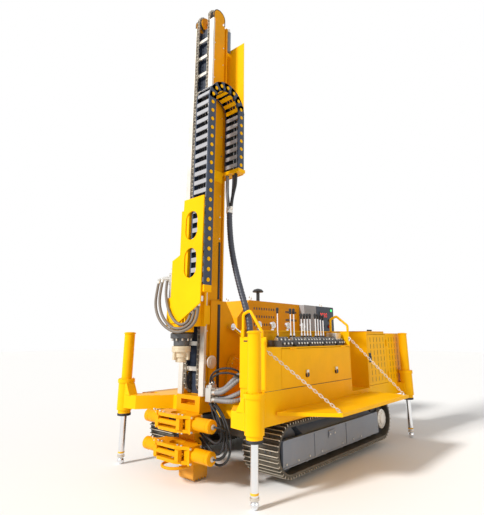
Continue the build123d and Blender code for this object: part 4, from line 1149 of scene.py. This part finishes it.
# Beside the mast: pivot bosses, a disc on the tilt frame, slide pads, and the cylinder at its top
boss_profile = ((0, 0.068), (0.008, 0.068), (0.011, 0.064), (0.013, 0.050), (0.018, 0.048))
disc_profile = ((0, 0.066), (0.010, 0.066), (0.013, 0.062), (0.0135, 0.030), (0.018, 0.028))
bosses, boss_bolts, disc, top_cylinder, top_cap = shapes(5)
for side in (1, -1):
    bosses.lathe((side * 0.243, 0.554, 1.106), (side, 0, 0), boss_profile, 40)
    for bolt in range(6):
        along, rise = on_circle(0.058, bolt, 6)
        boss_bolts.stud((side * 0.252, 0.554 + along, 1.106 + rise), (side * 0.008, 0, 0), 0.007)
# Pivot bosses in the darker yellow of painted shade
bosses.done("pivot_bosses", shade_darkened_yellow, "yellow_paint", 0)
boss_bolts.done("pivot_bolts", zinc, "rail_steel", 0)
disc.lathe((0.2103, 0.222, 1.133), (1, 0, 0), disc_profile, 40)
disc.done("frame_disc", pale_steel, "rail_steel", 0, "tilt_frame")
for name, body, face, y, z in (
    ("frame_slide_pads", "tilt_frame", 0.210, (0.300, 0.336), (0.860, 1.740)),
    ("mast_slide_pads", "mast", mast_side, (0.322, 0.348), (1.800, 2.460)),
):
    pads = Shape()
    outer = face + 0.008
    for side in (1, -1):
        pads.box((side * face, side * outer), y, z)
        for rise in range(6):
            spot = (side * outer, sum(y) / 2, z[0] + (rise + 0.5) * (z[1] - z[0]) / 6)
            pads.stud(spot, (side * 0.0008, 0, 0), 0.007, 12, sunk=1.25)
    pads.done(name, black_rubber_and_slot_shade, "valve_black", 0.001, body)
top_x, top_y = 0.172, 0.440
top_cylinder.rod((top_x, top_y, 5.130), (top_x, top_y, 5.440), 0.028)
for z in (5.150, 5.400):
    top_cylinder.box((0.130, 0.178), (0.4095, top_y), (z, z + 0.025))
top_cylinder.done("top_cylinder", frame_paint, "grey_blue_paint", 0.002, "mast")
top_profile = ((0, 0.022), (0.020, 0.022), (0.022, 0.018), (0.055, 0.018), (0.060, 0.012))
top_cap.lathe((top_x, top_y, 5.440), (0, 0, 1), top_profile, 24)
top_cap.done("top_cylinder_cap", zinc, "rail_steel", 0, "mast")

# Hoses that hang in loops behind the clamps
loop_routes = (
    (
        (128, 150, 470), (210, 122, 440), (330, 96, 360), (440, 90, 300), (520, 95, 340), (520, 125, 460),
        (430, 150, 600), (330, 160, 690), (262, 160, 738),
    ),
    (
        (128, 170, 400), (220, 140, 360), (340, 112, 290), (460, 105, 255), (545, 125, 330), (530, 150, 480),
        (440, 180, 610), (340, 190, 700), (276, 190, 738),
    ),
    (
        (128, 130, 540), (220, 96, 500), (340, 88, 430), (450, 88, 395), (505, 100, 450), (480, 122, 560),
        (390, 150, 650), (304, 165, 700), (280, 168, 738),
    ),
    (
        (128, 160, 340), (230, 130, 300), (360, 112, 235), (480, 112, 205), (572, 140, 280), (566, 170, 450),
        (470, 190, 600), (360, 205, 690), (296, 208, 738),
    ),
)
for number, route in enumerate(loop_routes, 1):
    free_hose(f"loop_hose_{number}", route, 0.011, black_rubber_and_slot_shade, mast_bodies)

# Black sheets behind the slots of the cabinet and the hood, as painted shade in the slots
for name, body, x, y, z in (
    ("cabinet_door_slot_shade", "cabinet_door", (0.9470, 0.9478), (2.440, 3.010), (0.780, 1.410)),
    ("cabinet_slot_shade", "chassis", (0.9470, 0.9478), (3.045, 3.615), (0.770, 1.420)),
    ("hood_slot_shade", "chassis", (-0.3130, -0.3122), (1.480, 2.640), (1.480, 1.840)),
    ("hood_door_front_slot_shade", "hood_door_front", (-0.9478, -0.9470), (1.480, 2.340), (1.320, 1.835)),
    ("hood_door_rear_slot_shade", "hood_door_rear", (-0.9478, -0.9470), (2.390, 3.250), (1.320, 1.835)),
):
    slot_shade_sheet = Shape()
    slot_shade_sheet.box(x, y, z)
    slot_shade_sheet.done(name, black_paint_and_slot_shade, "valve_black", 0, body)
